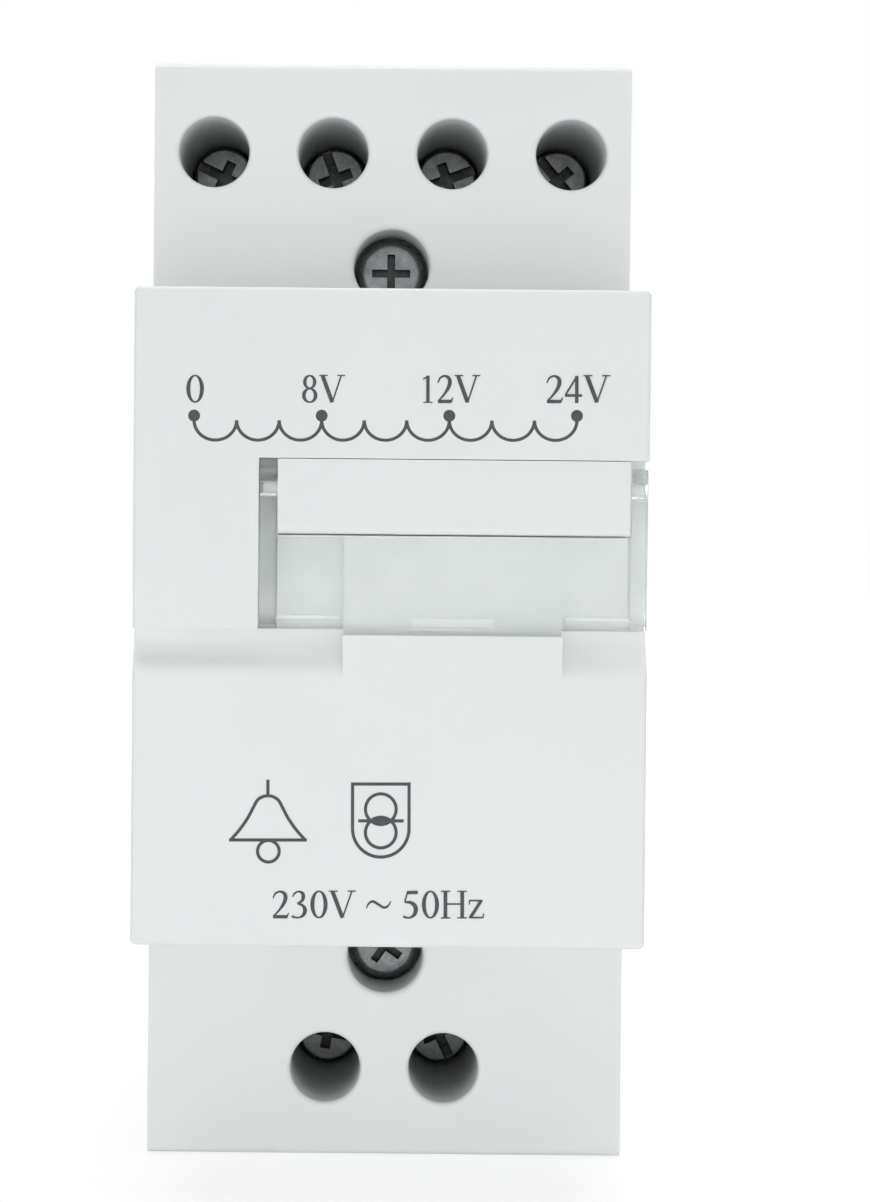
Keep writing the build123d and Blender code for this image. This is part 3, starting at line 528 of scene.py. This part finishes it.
class Sprout:
    """One Geometry Nodes tree with named inputs, grown into a plain mesh."""

    def __init__(self, name: str) -> None:
        """Starts a tree.

        Args:
            name: The tree's name.
        """
        self.tree = bpy.data.node_groups.new(name, "GeometryNodeTree")
        self.tree.interface.new_socket("Geometry", in_out="OUTPUT", socket_type="NodeSocketGeometry")
        self.values: list[tuple[str, Any]] = []
        self.inside = self.tree.nodes.new("NodeGroupInput")
        self.outside = self.tree.nodes.new("NodeGroupOutput")

    def take(self, name: str, kind: str, value: Any) -> Socket:
        """Adds a named input.

        Args:
            name: The input's name.
            kind: Its socket type, such as Float or Int.
            value: What the modifier sets it to.

        Returns:
            The socket to join inside the tree.
        """
        socket = self.tree.interface.new_socket(name, in_out="INPUT", socket_type="NodeSocket" + kind)
        self.values.append((socket.identifier, value))
        return self.inside.outputs[name]

    def add(self, kind: str, joins: dict[str, Any] | None = None, **settings: Any) -> bpy.types.Node:
        """Adds a node.

        Args:
            kind: The node's type name.
            joins: Input names, with a socket to join or a value to set.
            **settings: Attributes of the node itself.

        Returns:
            The new node.
        """
        node = self.tree.nodes.new(kind)
        for key, value in settings.items():
            setattr(node, key, value)
        for key, value in (joins or {}).items():
            if isinstance(value, Socket):
                self.tree.links.new(value, node.inputs[key])
            else:
                node.inputs[key].default_value = value
        return node

    def maths(self, operation: str, first: Any, second: Any) -> Socket:
        """Adds one sum on two numbers or sockets."""
        return self.add("ShaderNodeMath", {0: first, 1: second}, operation=operation).outputs[0]

    def grow(self, shape: Socket, material: bpy.types.Material) -> bpy.types.Mesh:
        """Ends the tree, runs it and gives its mesh.

        Args:
            shape: The geometry that the tree has made.
            material: The material that it carries.

        Returns:
            A plain mesh.
        """
        whole = self.add("GeometryNodeRealizeInstances", {"Geometry": shape})
        smooth = self.add("GeometryNodeSetShadeSmooth", {"Geometry": whole.outputs[0]})
        paint = self.add("GeometryNodeSetMaterial", {"Geometry": smooth.outputs[0]})
        paint.inputs["Material"].default_value = material
        self.tree.links.new(paint.outputs[0], self.outside.inputs[0])
        seed = bpy.data.objects.new(self.tree.name, bpy.data.meshes.new(self.tree.name))
        bpy.context.scene.collection.objects.link(seed)
        modifier = seed.modifiers.new("grow", "NODES")
        modifier.node_group = self.tree
        for identifier, value in self.values:
            modifier[identifier] = value
        mesh = bpy.data.meshes.new_from_object(seed.evaluated_get(bpy.context.evaluated_depsgraph_get()))
        seed.modifiers.clear()
        bpy.data.objects.remove(seed)
        return mesh


@dataclass
class Lettering:
    """Serif figures drawn as strokes that swell and thin, in units of a figure's height."""

    RING_STEPS: ClassVar[int] = 40
    SWELL: ClassVar[float] = 1.6
    smooth: int = 6
    longest: int = 30
    meeting: float = 1e-6
    overlap: float = 0.0015
    weight: float = 1.12

    @classmethod
    def ring(cls, centre: Point, reach: Point, thin: float, thick: float) -> Stroke:
        """Draws a closed bowl that is thick at its sides.

        Args:
            centre: Its middle.
            reach: Half its width and half its height, at the middle of the stroke.
            thin: The stroke at top and bottom.
            thick: The stroke at the sides.

        Returns:
            The stroke, whose last point meets its first.
        """
        turns = [2 * math.pi * i / cls.RING_STEPS for i in range(cls.RING_STEPS + 1)]
        return [(centre[0] + reach[0] * math.cos(a), centre[1] + reach[1] * math.sin(a),
                 thin + (thick - thin) * abs(math.cos(a)) ** cls.SWELL) for a in turns]

    def figures(self) -> dict[str, tuple[float, list[Stroke]]]:
        """Gives each figure's width and strokes.

        Returns:
            The figures by character.
        """
        return {
            " ": (0.37, []),
            "0": (0.74, [self.ring((0.37, 0.5), (0.255, 0.475), 0.05, 0.13)]),
            "1": (0.74, [[(0.40, 0.0, 0.11), (0.40, 0.97, 0.11)], [(0.21, 0.02, 0.04), (0.59, 0.02, 0.04)],
                         [(0.20, 0.85, 0.04), (0.43, 0.96, 0.07)]]),
            "2": (0.74, [[(0.07, 0.72, 0.04), (0.16, 0.89, 0.06), (0.34, 0.965, 0.07), (0.51, 0.89, 0.11),
                          (0.555, 0.73, 0.13), (0.48, 0.52, 0.11), (0.30, 0.28, 0.07), (0.08, 0.06, 0.05)],
                         [(0.07, 0.055, 0.11), (0.62, 0.055, 0.11)], [(0.60, 0.04, 0.07), (0.68, 0.20, 0.03)]]),
            "3": (0.74, [[(0.09, 0.77, 0.04), (0.17, 0.90, 0.06), (0.32, 0.965, 0.06), (0.47, 0.90, 0.10),
                          (0.505, 0.77, 0.12), (0.45, 0.63, 0.09), (0.27, 0.53, 0.05)],
                         [(0.27, 0.53, 0.05), (0.48, 0.46, 0.09), (0.57, 0.29, 0.13), (0.50, 0.11, 0.10),
                          (0.32, 0.025, 0.055), (0.15, 0.04, 0.07), (0.06, 0.08, 0.08)]]),
            "4": (0.74, [[(0.49, 0.0, 0.11), (0.49, 0.97, 0.11)], [(0.50, 0.96, 0.06), (0.05, 0.29, 0.06)],
                         [(0.03, 0.27, 0.085), (0.70, 0.27, 0.085)]]),
            "5": (0.74, [[(0.20, 0.93, 0.11), (0.62, 0.94, 0.11)], [(0.22, 0.95, 0.05), (0.12, 0.58, 0.05)],
                         [(0.12, 0.575, 0.05), (0.30, 0.58, 0.10), (0.47, 0.50, 0.13), (0.545, 0.33, 0.14),
                          (0.48, 0.13, 0.11), (0.31, 0.025, 0.06), (0.14, 0.04, 0.07), (0.06, 0.08, 0.07)]]),
            "8": (0.74, [self.ring((0.37, 0.745), (0.20, 0.225), 0.05, 0.11),
                         self.ring((0.37, 0.265), (0.235, 0.24), 0.05, 0.12)]),
            "V": (1.07, [[(0.15, 0.97, 0.13), (0.54, 0.02, 0.13)], [(0.54, 0.02, 0.05), (0.90, 0.97, 0.05)],
                         [(0.01, 0.98, 0.04), (0.36, 0.98, 0.04)], [(0.74, 0.98, 0.04), (1.06, 0.98, 0.04)]]),
            "H": (1.07, [[(0.21, 0.0, 0.12), (0.21, 1.0, 0.12)], [(0.86, 0.0, 0.12), (0.86, 1.0, 0.12)],
                         [(0.21, 0.52, 0.05), (0.86, 0.52, 0.05)], [(0.03, 0.98, 0.04), (0.40, 0.98, 0.04)],
                         [(0.03, 0.02, 0.04), (0.40, 0.02, 0.04)], [(0.67, 0.98, 0.04), (1.04, 0.98, 0.04)],
                         [(0.67, 0.02, 0.04), (1.04, 0.02, 0.04)]]),
            "z": (0.66, [[(0.07, 0.645, 0.05), (0.58, 0.645, 0.05)], [(0.53, 0.65, 0.10), (0.10, 0.03, 0.10)],
                         [(0.05, 0.03, 0.05), (0.60, 0.03, 0.05)], [(0.08, 0.66, 0.05), (0.06, 0.50, 0.03)],
                         [(0.59, 0.02, 0.05), (0.62, 0.19, 0.03)]]),
            "~": (1.02, [[(0.02, 0.36, 0.03), (0.12, 0.54, 0.06), (0.28, 0.61, 0.08), (0.49, 0.50, 0.08),
                          (0.70, 0.39, 0.08), (0.86, 0.45, 0.06), (0.97, 0.62, 0.03)]]),
        }

    def line(self, text: str, left: float, right: float, base: float, height: float) -> list[Stroke]:
        """Sets one line of figures between two ends.

        Args:
            text: The characters.
            left: Where the line begins.
            right: Where it ends.
            base: Where it stands.
            height: How tall a figure is.

        Returns:
            The strokes, in millimetres on the front.
        """
        figures = self.figures()
        width = sum(figures[c][0] for c in text)
        scale, strokes, x = (right - left) / width, [], left
        for character in text:
            advance, drawn = figures[character]
            for stroke in drawn:
                strokes.append([(x + px * scale, base + py * height, w * height * self.weight)
                                for px, py, w in stroke])
            x += advance * scale
        return strokes

    def rounded(self, stroke: Stroke) -> Stroke:
        """Puts a smooth curve through a stroke's points.

        Args:
            stroke: Its points. Two stay a straight run, and more than the longest listed stroke has are dense
                already.

        Returns:
            The denser stroke.
        """
        if len(stroke) < 3 or len(stroke) > self.longest:
            return stroke
        ends = [stroke[0], *stroke, stroke[-1]]
        dense: Stroke = []
        for a, b, c, d in zip(ends, ends[1:], ends[2:], ends[3:]):
            for step in range(self.smooth):
                t = step / self.smooth
                dense.append(tuple(0.5 * (2 * q + (r - p) * t + (2 * p - 5 * q + 4 * r - s) * t * t
                                          + (3 * q - p - 3 * r + s) * t ** 3)
                                   for p, q, r, s in zip(a, b, c, d)))
        return dense + [stroke[-1]]

    def mesh(self, name: str, strokes: Iterable[Stroke], front: float, rise: float) -> bpy.types.Mesh:
        """Lays strokes on the front as thin raised ink.

        Args:
            name: The mesh's name.
            strokes: The strokes as X, Z and width.
            front: The depth of the surface that they lie on.
            rise: How far the ink stands off it.

        Returns:
            The mesh, in metres.
        """
        bm = bmesh.new()
        for layer, stroke in enumerate(strokes):
            path = self.rounded(stroke)
            closed = math.dist(path[0][:2], path[-1][:2]) < self.meeting
            path = path[:-1] if closed else path
            rows = [self.cross(bm, path, i, closed, front, rise + layer * self.overlap) for i in range(len(path))]
            pairs = list(zip(rows, rows[1:])) + ([(rows[-1], rows[0])] if closed else [])
            for one, two in pairs:
                for side in range(4):
                    bm.faces.new((one[side], two[side], two[(side + 1) % 4], one[(side + 1) % 4]))
            if not closed:
                bm.faces.new(rows[0])
                bm.faces.new(rows[-1][::-1])
        bmesh.ops.recalc_face_normals(bm, faces=bm.faces)
        mesh = bpy.data.meshes.new(name)
        bm.to_mesh(mesh)
        bm.free()
        return mesh

    @staticmethod
    def cross(bm: bmesh.types.BMesh, path: Stroke, i: int, closed: bool, front: float,
              rise: float) -> list[bmesh.types.BMVert]:
        """Makes the four corners of a stroke at one of its points.

        Args:
            bm: The mesh being made.
            path: The stroke's points.
            i: Which point.
            closed: Whether the stroke joins up.
            front: The depth of the surface.
            rise: How far the ink stands off it.

        Returns:
            The four corners, in order round the stroke.
        """
        last = len(path) - 1
        before = path[i - 1] if i or closed else path[0]
        after = path[(i + 1) % len(path)] if i < last or closed else path[last]
        along = Vector((after[0] - before[0], after[1] - before[1])).normalized()
        x, z, width = path[i]
        off = Vector((-along.y, along.x)) * width / 2
        places = [(x + off.x, front - rise, z + off.y), (x - off.x, front - rise, z - off.y),
                  (x - off.x, front, z - off.y), (x + off.x, front, z + off.y)]
        return [bm.verts.new(Vector(p) * MM) for p in places]


@dataclass
class FrontPrint:
    """The dark print on the nose: tap figures, the winding, two symbols and the supply."""

    palette: Palette
    nose: float = -60.0
    rise: float = 0.02
    tilt: float = math.radians(0.48)
    figure_height: float = 1.9
    tap_base: float = 14.7
    taps: tuple[tuple[str, float, float], ...] = (("0", -14.1, -12.75), ("8V", -6.25, -3.2), ("12V", 1.75, 6.0),
                                                  ("24V", 10.4, 14.85))
    winding_left: float = -13.48
    winding_top: float = 13.5
    turns: int = 9
    turn_width: float = 2.896
    turn_drop: float = 0.93
    turns_to_a_tap: int = 3
    dot_lift: float = 0.32
    dot_radius: float = 0.41
    dot_flat: float = 0.7
    dot_segments: int = 24
    dot_rings: int = 8
    arc_steps: int = 24
    line_sides: int = 8
    line_width: float = 0.23
    symbol_share: float = 0.95
    supply: tuple[str, float, float, float] = ("230V ~ 50Hz", -7.95, 6.65, -20.50)
    bell_centre: float = -8.22
    bell_foot: float = -15.2
    bell_reach: float = 2.66
    bell_stem: Point = (3.0, 4.13)
    bell_half: tuple[Point, ...] = ((0.0, 3.03), (0.36, 2.96), (0.72, 2.72), (1.00, 2.22), (1.38, 1.50), (1.92, 0.72),
                                    (2.55, 0.0))
    clapper: Point = (0.03, -0.77)
    clapper_radius: float = 0.74
    shield_centre: float = -0.51
    shield_top: float = -11.3
    shield_half: float = 1.93
    shield_side: float = 3.05
    shield_bowl: float = 1.95
    shield_steps: int = 32
    ring_drops: Point = (1.72, 3.32)
    ring_radius: float = 1.05
    bar_drop: float = 2.52
    bar_ends: Point = (-1.54, 1.56)
    lens: tuple[Point, ...] = ((-0.72, 0.1), (-0.36, 0.5), (0.0, 0.64), (0.36, 0.5), (0.72, 0.1))

    def build(self) -> None:
        """Prints everything on the nose."""
        letters = Lettering()
        figures = [stroke for text, left, right in self.taps
                   for stroke in letters.line(text, left, right, self.tap_base, self.figure_height)]
        self.lay("print_tap_figures", figures)
        text, left, right, base = self.supply
        self.lay("print_supply", letters.line(text, left, right, base, self.figure_height))
        self.lay("print_bell", self.bell())
        self.lay("print_isolating", self.isolating())
        self.palette.piece("print_winding", self.winding(), "print_grey", "housing")

    def lay(self, name: str, strokes: list[Stroke]) -> None:
        """Lays one group of strokes on the nose.

        Args:
            name: The piece's name.
            strokes: Its strokes.
        """
        mesh = Lettering().mesh(name, self.tilted(strokes), self.nose, self.rise)
        self.palette.piece(name, mesh, "print_grey", "housing")

    def tilted(self, strokes: list[Stroke]) -> list[Stroke]:
        """Turns a group of strokes about its middle, as the printing pad set it.

        Args:
            strokes: The strokes as drawn.

        Returns:
            The strokes as printed.
        """
        spots = [point for stroke in strokes for point in stroke]
        x0, z0 = ((min(p[i] for p in spots) + max(p[i] for p in spots)) / 2 for i in (0, 1))
        cos, sin = math.cos(self.tilt), math.sin(self.tilt)
        return [[(x0 + (x - x0) * cos - (z - z0) * sin, z0 + (x - x0) * sin + (z - z0) * cos, w)
                 for x, z, w in stroke] for stroke in strokes]

    def winding(self) -> bpy.types.Mesh:
        """Grows the row of hanging turns with a dot at each tap.

        Returns:
            The mesh of turns and dots.
        """
        sprout = Sprout("print_winding_tree")
        count = sprout.take("Turns", "Int", self.turns)
        radius = sprout.take("Turn radius", "Float", self.turn_width / 2 * MM)
        line = sprout.take("Line radius", "Float", self.line_width / 2 * MM)
        dot = sprout.take("Dot radius", "Float", self.dot_radius * MM)
        step = sprout.take("Turns to a tap", "Int", self.turns_to_a_tap)
        pitch = sprout.maths("MULTIPLY", radius, 2.0)
        arc = sprout.add("GeometryNodeCurveArc", {"Resolution": self.arc_steps, "Radius": radius,
                                                  "Start Angle": math.pi, "Sweep Angle": math.pi})
        profile = sprout.add("GeometryNodeCurvePrimitiveCircle", {"Resolution": self.line_sides, "Radius": line})
        tube = sprout.add("GeometryNodeCurveToMesh", {"Curve": arc.outputs[0], "Profile Curve": profile.outputs[0],
                                                      "Fill Caps": True})
        turns = self.row(sprout, count, pitch, sprout.maths("MULTIPLY", pitch, 0.5), 0.0, tube.outputs[0],
                         (1.0, self.turn_drop, 1.0))
        ball = sprout.add("GeometryNodeMeshUVSphere", {"Segments": self.dot_segments, "Rings": self.dot_rings,
                                                       "Radius": dot})
        taps = sprout.maths("ADD", sprout.maths("DIVIDE", count, step), 1.0)
        dots = self.row(sprout, taps, sprout.maths("MULTIPLY", pitch, step), 0.0, self.dot_lift * MM,
                        ball.outputs[0], (1.0, 1.0, self.dot_flat * self.line_width / self.dot_radius))
        both = sprout.add("GeometryNodeJoinGeometry")
        for part in (turns, dots):
            sprout.tree.links.new(part, both.inputs[0])
        flat = sprout.add("GeometryNodeTransform", {"Geometry": both.outputs[0]})
        flat.inputs["Scale"].default_value = (1.0, 1.0, self.rise / (self.line_width / 2))
        stand = sprout.add("GeometryNodeTransform", {"Geometry": flat.outputs[0]})
        stand.inputs["Rotation"].default_value = (math.pi / 2, -self.tilt, 0.0)
        low = self.winding_top - self.turns * self.turn_width / 2 * math.sin(self.tilt)
        stand.inputs["Translation"].default_value = Vector((self.winding_left, self.nose, low)) * MM
        return sprout.grow(stand.outputs[0], self.palette.materials["print_grey"])

    @staticmethod
    def row(sprout: Sprout, count: Any, pitch: Any, start: Any, lift: float, shape: Socket,
            scale: Sequence[float]) -> Socket:
        """Sets a shape out along a line.

        Args:
            sprout: The tree being built.
            count: How many.
            pitch: From one to the next.
            start: Where the first stands.
            lift: How high the line is.
            shape: What is set out.
            scale: How it is stretched.

        Returns:
            The row of instances.
        """
        step = sprout.add("ShaderNodeCombineXYZ", {"X": pitch})
        first = sprout.add("ShaderNodeCombineXYZ", {"X": start, "Y": lift})
        line = sprout.add("GeometryNodeMeshLine", {"Count": count, "Start Location": first.outputs[0],
                                                   "Offset": step.outputs[0]})
        spots = sprout.add("GeometryNodeInstanceOnPoints", {"Points": line.outputs[0], "Instance": shape})
        spots.inputs["Scale"].default_value = scale
        return spots.outputs[0]

    def bell(self) -> list[Stroke]:
        """Draws the bell: stem, dome with a flared skirt, foot line and clapper.

        Returns:
            The strokes.
        """
        x, z, w = self.bell_centre, self.bell_foot, self.line_width * self.symbol_share
        sides = [[(x + s * px, z + pz, w) for px, pz in self.bell_half] for s in (-1, 1)]
        stem = [(x, z + pz, w) for pz in self.bell_stem]
        foot = [(x - self.bell_reach, z, w), (x + self.bell_reach, z, w)]
        middle = (x + self.clapper[0], z + self.clapper[1])
        return [*sides, stem, foot, Lettering.ring(middle, (self.clapper_radius, self.clapper_radius), w, w)]

    def isolating(self) -> list[Stroke]:
        """Draws the shield with two linked rings and a bar.

        Returns:
            The strokes.
        """
        x, top, w = self.shield_centre, self.shield_top, self.line_width * self.symbol_share
        half, side, middle = self.shield_half, top - self.shield_side, top - self.bar_drop
        turn = [math.pi + math.pi * i / self.shield_steps for i in range(self.shield_steps + 1)]
        bowl = [(x + half * math.cos(a), side + self.shield_bowl * math.sin(a), w) for a in turn]
        sides = [[(x + s * half, top, w), (x + s * half, side, w)] for s in (-1, 1)]
        crown = [(x - half - w / 2, top, w), (x + half + w / 2, top, w)]
        rings = [Lettering.ring((x, top - drop), (self.ring_radius, self.ring_radius), w, w)
                 for drop in self.ring_drops]
        bar = [(x + end, middle, w) for end in self.bar_ends]
        lens = [(x + px, middle, width) for px, width in self.lens]
        return [*sides, crown, bowl, *rings, bar, lens]


@dataclass
class Case:
    """The white case, its hinge bar and the two screws that hold it."""

    palette: Palette

    def build(self) -> None:
        """Dresses the case."""
        self.palette.dress("housing_white", "front_housing", "rear_base", "hinge_bar")
        self.palette.dress("zinc_steel", "case_screw_top", "case_screw_bottom")


@dataclass
class LabelFlap:
    """The clear flap over the label place."""

    palette: Palette

    def build(self) -> None:
        """Dresses the flap."""
        self.palette.dress("flap_clear", "label_flap")


@dataclass
class RailClip:
    """The sliding latch and the coil that pushes it up."""

    palette: Palette
    foot: float = -33.85
    top: float = -23.95
    depth: float = 3.05
    coil_radius: float = 1.35
    wire_radius: float = 0.22
    turns: float = 7.5
    steps: int = 28
    sides: int = 10
    end_gap: float = 0.05
    travel: float = 4.0

    def build(self) -> None:
        """Dresses the latch and grows the coil."""
        self.palette.dress("latch_grey", "rail_latch")
        coil = self.palette.piece("latch_coil", self.coil(), "spring_steel", "housing")
        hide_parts("latch_spring")
        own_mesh(coil)

    def coil(self) -> bpy.types.Mesh:
        """Grows the coil along a spiral.

        Returns:
            The coil's mesh.
        """
        sprout = Sprout("latch_coil_tree")
        turns = sprout.take("Turns", "Float", self.turns)
        radius = sprout.take("Coil radius", "Float", self.coil_radius * MM)
        wire = sprout.take("Wire radius", "Float", self.wire_radius * MM)
        inset = self.wire_radius + self.end_gap
        rise = sprout.take("Length", "Float", (self.top - self.foot - 2 * inset) * MM)
        spiral = sprout.add("GeometryNodeCurveSpiral", {"Resolution": self.steps, "Rotations": turns,
                                                        "Start Radius": radius, "End Radius": radius, "Height": rise})
        profile = sprout.add("GeometryNodeCurvePrimitiveCircle", {"Resolution": self.sides, "Radius": wire})
        tube = sprout.add("GeometryNodeCurveToMesh", {"Curve": spiral.outputs[0], "Profile Curve": profile.outputs[0],
                                                      "Fill Caps": True})
        place = sprout.add("GeometryNodeTransform", {"Geometry": tube.outputs[0]})
        place.inputs["Translation"].default_value = Vector((0.0, self.depth, self.foot + inset)) * MM
        return sprout.grow(place.outputs[0], self.palette.materials["spring_steel"])


@dataclass
class Terminals:
    """The six terminals, with their screws, cages, bars and leads."""

    palette: Palette
    sleeves: tuple[tuple[Tap, str], ...] = ((Tap.ZERO, "lead_black"), (Tap.EIGHT, "lead_red"),
                                            (Tap.TWELVE, "lead_red"), (Tap.TWENTY_FOUR, "lead_red"),
                                            (Tap.LIVE, "lead_brown"), (Tap.NEUTRAL, "lead_blue"))

    def build(self) -> None:
        """Dresses each terminal."""
        for tap, sleeve in self.sleeves:
            self.palette.dress("zinc_steel", f"terminal_screw_{tap.value}", f"clamp_cage_{tap.value}")
            self.palette.dress("bar_brass", f"terminal_bar_{tap.value}")
            self.palette.dress(sleeve, f"lead_{tap.value}")


@dataclass
class WoundCore:
    """The laminated core with its bobbin, coils, tape and thermal cut-out."""

    palette: Palette

    def build(self) -> None:
        """Dresses the core."""
        self.palette.dress("core_steel", "core_e_stack", "core_i_stack")
        self.palette.dress("bobbin_plastic", "bobbin")
        self.palette.dress("copper_wire", "primary_winding", "secondary_winding")
        self.palette.dress("tape_yellow", "primary_tape", "secondary_tape")
        self.palette.dress("cutout_black", "thermal_cutout")


@dataclass(frozen=True)
class Lamp:
    """One soft round lamp that faces the object."""

    name: str
    place: Triple
    size: float
    power: float
    mirrored: bool = True
    aim: Triple = (0.0, -30.0, 0.0)

    def hang(self) -> None:
        """Adds the lamp, which shows in shiny surfaces only where it is mirrored."""
        light = bpy.data.lights.new(self.name, "AREA")
        light.shape, light.size, light.energy = "DISK", self.size * MM, self.power
        light.cycles.use_multiple_importance_sampling = self.mirrored
        hung = bpy.data.objects.new(self.name, light)
        hung.location = Vector(self.place) * MM
        hung.rotation_euler = (Vector(self.aim) * MM - hung.location).to_track_quat("-Z", "Y").to_euler()
        hung.visible_camera, hung.visible_glossy = False, self.mirrored
        bpy.context.scene.collection.objects.link(hung)


@dataclass
class Studio:
    """White floor, soft lamps and the camera of the photograph."""

    floor_height: float = -40.45
    floor_size: float = 4000.0
    floor_fade: Span = (110.0, 420.0)
    floor_glow: Span = (0.66, 1.0)
    floor_shade: float = 0.45
    floor_bounce: float = 0.8
    sky: float = 0.40
    horizon: float = 0.01
    lamps: tuple[Lamp, ...] = (
        Lamp("lamp_over", (0.0, 5.0, 600.0), 500.0, 2.0),
        Lamp("lamp_left", (-560.0, -600.0, 40.0), 420.0, 0.76),
        Lamp("lamp_right", (580.0, -580.0, 30.0), 420.0, 0.66),
        Lamp("lamp_low", (0.0, -430.0, -115.0), 320.0, 0.48, mirrored=False),
        Lamp("lamp_glint", (5.0, -442.0, 462.0), 110.0, 0.10),
        Lamp("lamp_behind", (160.0, 640.0, 220.0), 420.0, 1.2),
    )
    eye: Triple = (-1.5293, -242.753, 5.4351)
    pitch: float = -0.0232
    roll: float = -0.0094
    lens: float = 80.3
    sensor: float = 36.0
    shift: float = 0.0558
    nearest: float = 10.0

    def build(self) -> None:
        """Sets up the whole studio."""
        self.floor()
        self.light()
        self.camera()
        bpy.context.scene.view_settings.view_transform = "Standard"

    @staticmethod
    def grey(share: float) -> tuple[float, float, float, float]:
        """Gives the linear grey that is this share of white."""
        return share, share, share, 1.0

    @staticmethod
    def seen(tree: bpy.types.NodeTree) -> Socket:
        """Finds the rays that should meet plain white.

        Args:
            tree: The node tree to add to.

        Returns:
            One for camera, glossy and transmission rays.
        """
        path = tree.nodes.new("ShaderNodeLightPath")
        total = path.outputs[Ray.CAMERA.value]
        for ray in (Ray.GLOSSY, Ray.TRANSMISSION):
            most = tree.nodes.new("ShaderNodeMath")
            most.operation = "MAXIMUM"
            tree.links.new(total, most.inputs[0])
            tree.links.new(path.outputs[ray.value], most.inputs[1])
            total = most.outputs[0]
        return total

    def floor(self) -> None:
        """Lays the floor, which shows white and still takes the object's shadow.

        It casts none itself, because the low lamp stands beneath its level.
        """
        half = self.floor_size / 2 * MM
        mesh = bpy.data.meshes.new("floor")
        height = self.floor_height * MM
        mesh.from_pydata([(x * half, y * half, height) for x, y in ((-1, -1), (1, -1), (1, 1), (-1, 1))], [],
                         [(0, 1, 2, 3)])
        graph = Graph("floor_white")
        graph.tree.nodes.remove(graph.shader)
        away = graph.add("ShaderNodeVectorMath", operation="LENGTH")
        near, far = (distance * MM for distance in self.floor_fade)
        least, most = self.floor_glow
        whiten = graph.add("ShaderNodeMapRange", {"From Min": near, "From Max": far, "To Min": least, "To Max": most})
        glow = graph.add("ShaderNodeEmission", {"Color": self.grey(1.0)})
        graph.link(graph.place(), away.inputs[0])
        graph.link(away.outputs["Value"], whiten.inputs["Value"])
        graph.link(whiten.outputs["Result"], glow.inputs["Strength"])
        shade = graph.add("ShaderNodeBsdfDiffuse", {"Color": self.grey(self.floor_shade)})
        bounce = graph.add("ShaderNodeBsdfDiffuse", {"Color": self.grey(self.floor_bounce)})
        shown, choice = graph.add("ShaderNodeAddShader"), graph.add("ShaderNodeMixShader")
        graph.link(glow.outputs[0], shown.inputs[0])
        graph.link(shade.outputs[0], shown.inputs[1])
        graph.link(self.seen(graph.tree), choice.inputs[0])
        graph.link(bounce.outputs[0], choice.inputs[1])
        graph.link(shown.outputs[0], choice.inputs[2])
        graph.link(choice.outputs[0], graph.tree.nodes["Material Output"].inputs["Surface"])
        mesh.materials.append(graph.material)
        floor = bpy.data.objects.new("floor", mesh)
        floor.visible_shadow = False
        bpy.context.scene.collection.objects.link(floor)

    def light(self) -> None:
        """Hangs the lamps and the soft sky, which shines from above the horizon only."""
        world = bpy.data.worlds.new("soft_sky")
        world.use_nodes = True
        tree = world.node_tree
        plain = tree.nodes["Background"]
        plain.inputs["Color"].default_value = self.grey(1.0)
        spot, split = tree.nodes.new("ShaderNodeTexCoord"), tree.nodes.new("ShaderNodeSeparateXYZ")
        dome = tree.nodes.new("ShaderNodeMapRange")
        dome.inputs["From Max"].default_value, dome.inputs["To Max"].default_value = self.horizon, self.sky
        tree.links.new(spot.outputs["Generated"], split.inputs[0])
        tree.links.new(split.outputs["Z"], dome.inputs["Value"])
        tree.links.new(dome.outputs["Result"], plain.inputs["Strength"])
        white, choice = tree.nodes.new("ShaderNodeBackground"), tree.nodes.new("ShaderNodeMixShader")
        white.inputs["Color"].default_value = self.grey(1.0)
        tree.links.new(self.seen(tree), choice.inputs[0])
        tree.links.new(plain.outputs[0], choice.inputs[1])
        tree.links.new(white.outputs[0], choice.inputs[2])
        tree.links.new(choice.outputs[0], tree.nodes["World Output"].inputs["Surface"])
        bpy.context.scene.world = world
        for lamp in self.lamps:
            lamp.hang()

    def camera(self) -> None:
        """Sets the camera where the photograph was taken from."""
        data = bpy.data.cameras.new("camera")
        data.lens, data.sensor_width, data.shift_x = self.lens, self.sensor, self.shift
        data.clip_start = self.nearest * MM
        eye = bpy.data.objects.new("camera", data)
        turn = Matrix.Rotation(self.pitch, 4, "X") @ Matrix.Rotation(self.roll, 4, "Y")
        eye.matrix_world = Matrix.Translation(Vector(self.eye) * MM) @ turn @ Matrix.Rotation(math.pi / 2, 4, "X")
        bpy.context.scene.collection.objects.link(eye)
        bpy.context.scene.camera = eye


def main() -> None:
    """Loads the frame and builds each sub-assembly in order."""
    logging.basicConfig(level=logging.INFO, format="%(name)s: %(message)s")
    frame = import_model()
    palette = Palette(frame["nodes"])
    for part in (Case(palette), LabelFlap(palette), RailClip(palette), Terminals(palette), WoundCore(palette),
                 FrontPrint(palette), Studio()):
        part.build()
        LOG.info("%s done", type(part).__name__)


if __name__ == "__main__":
    main()
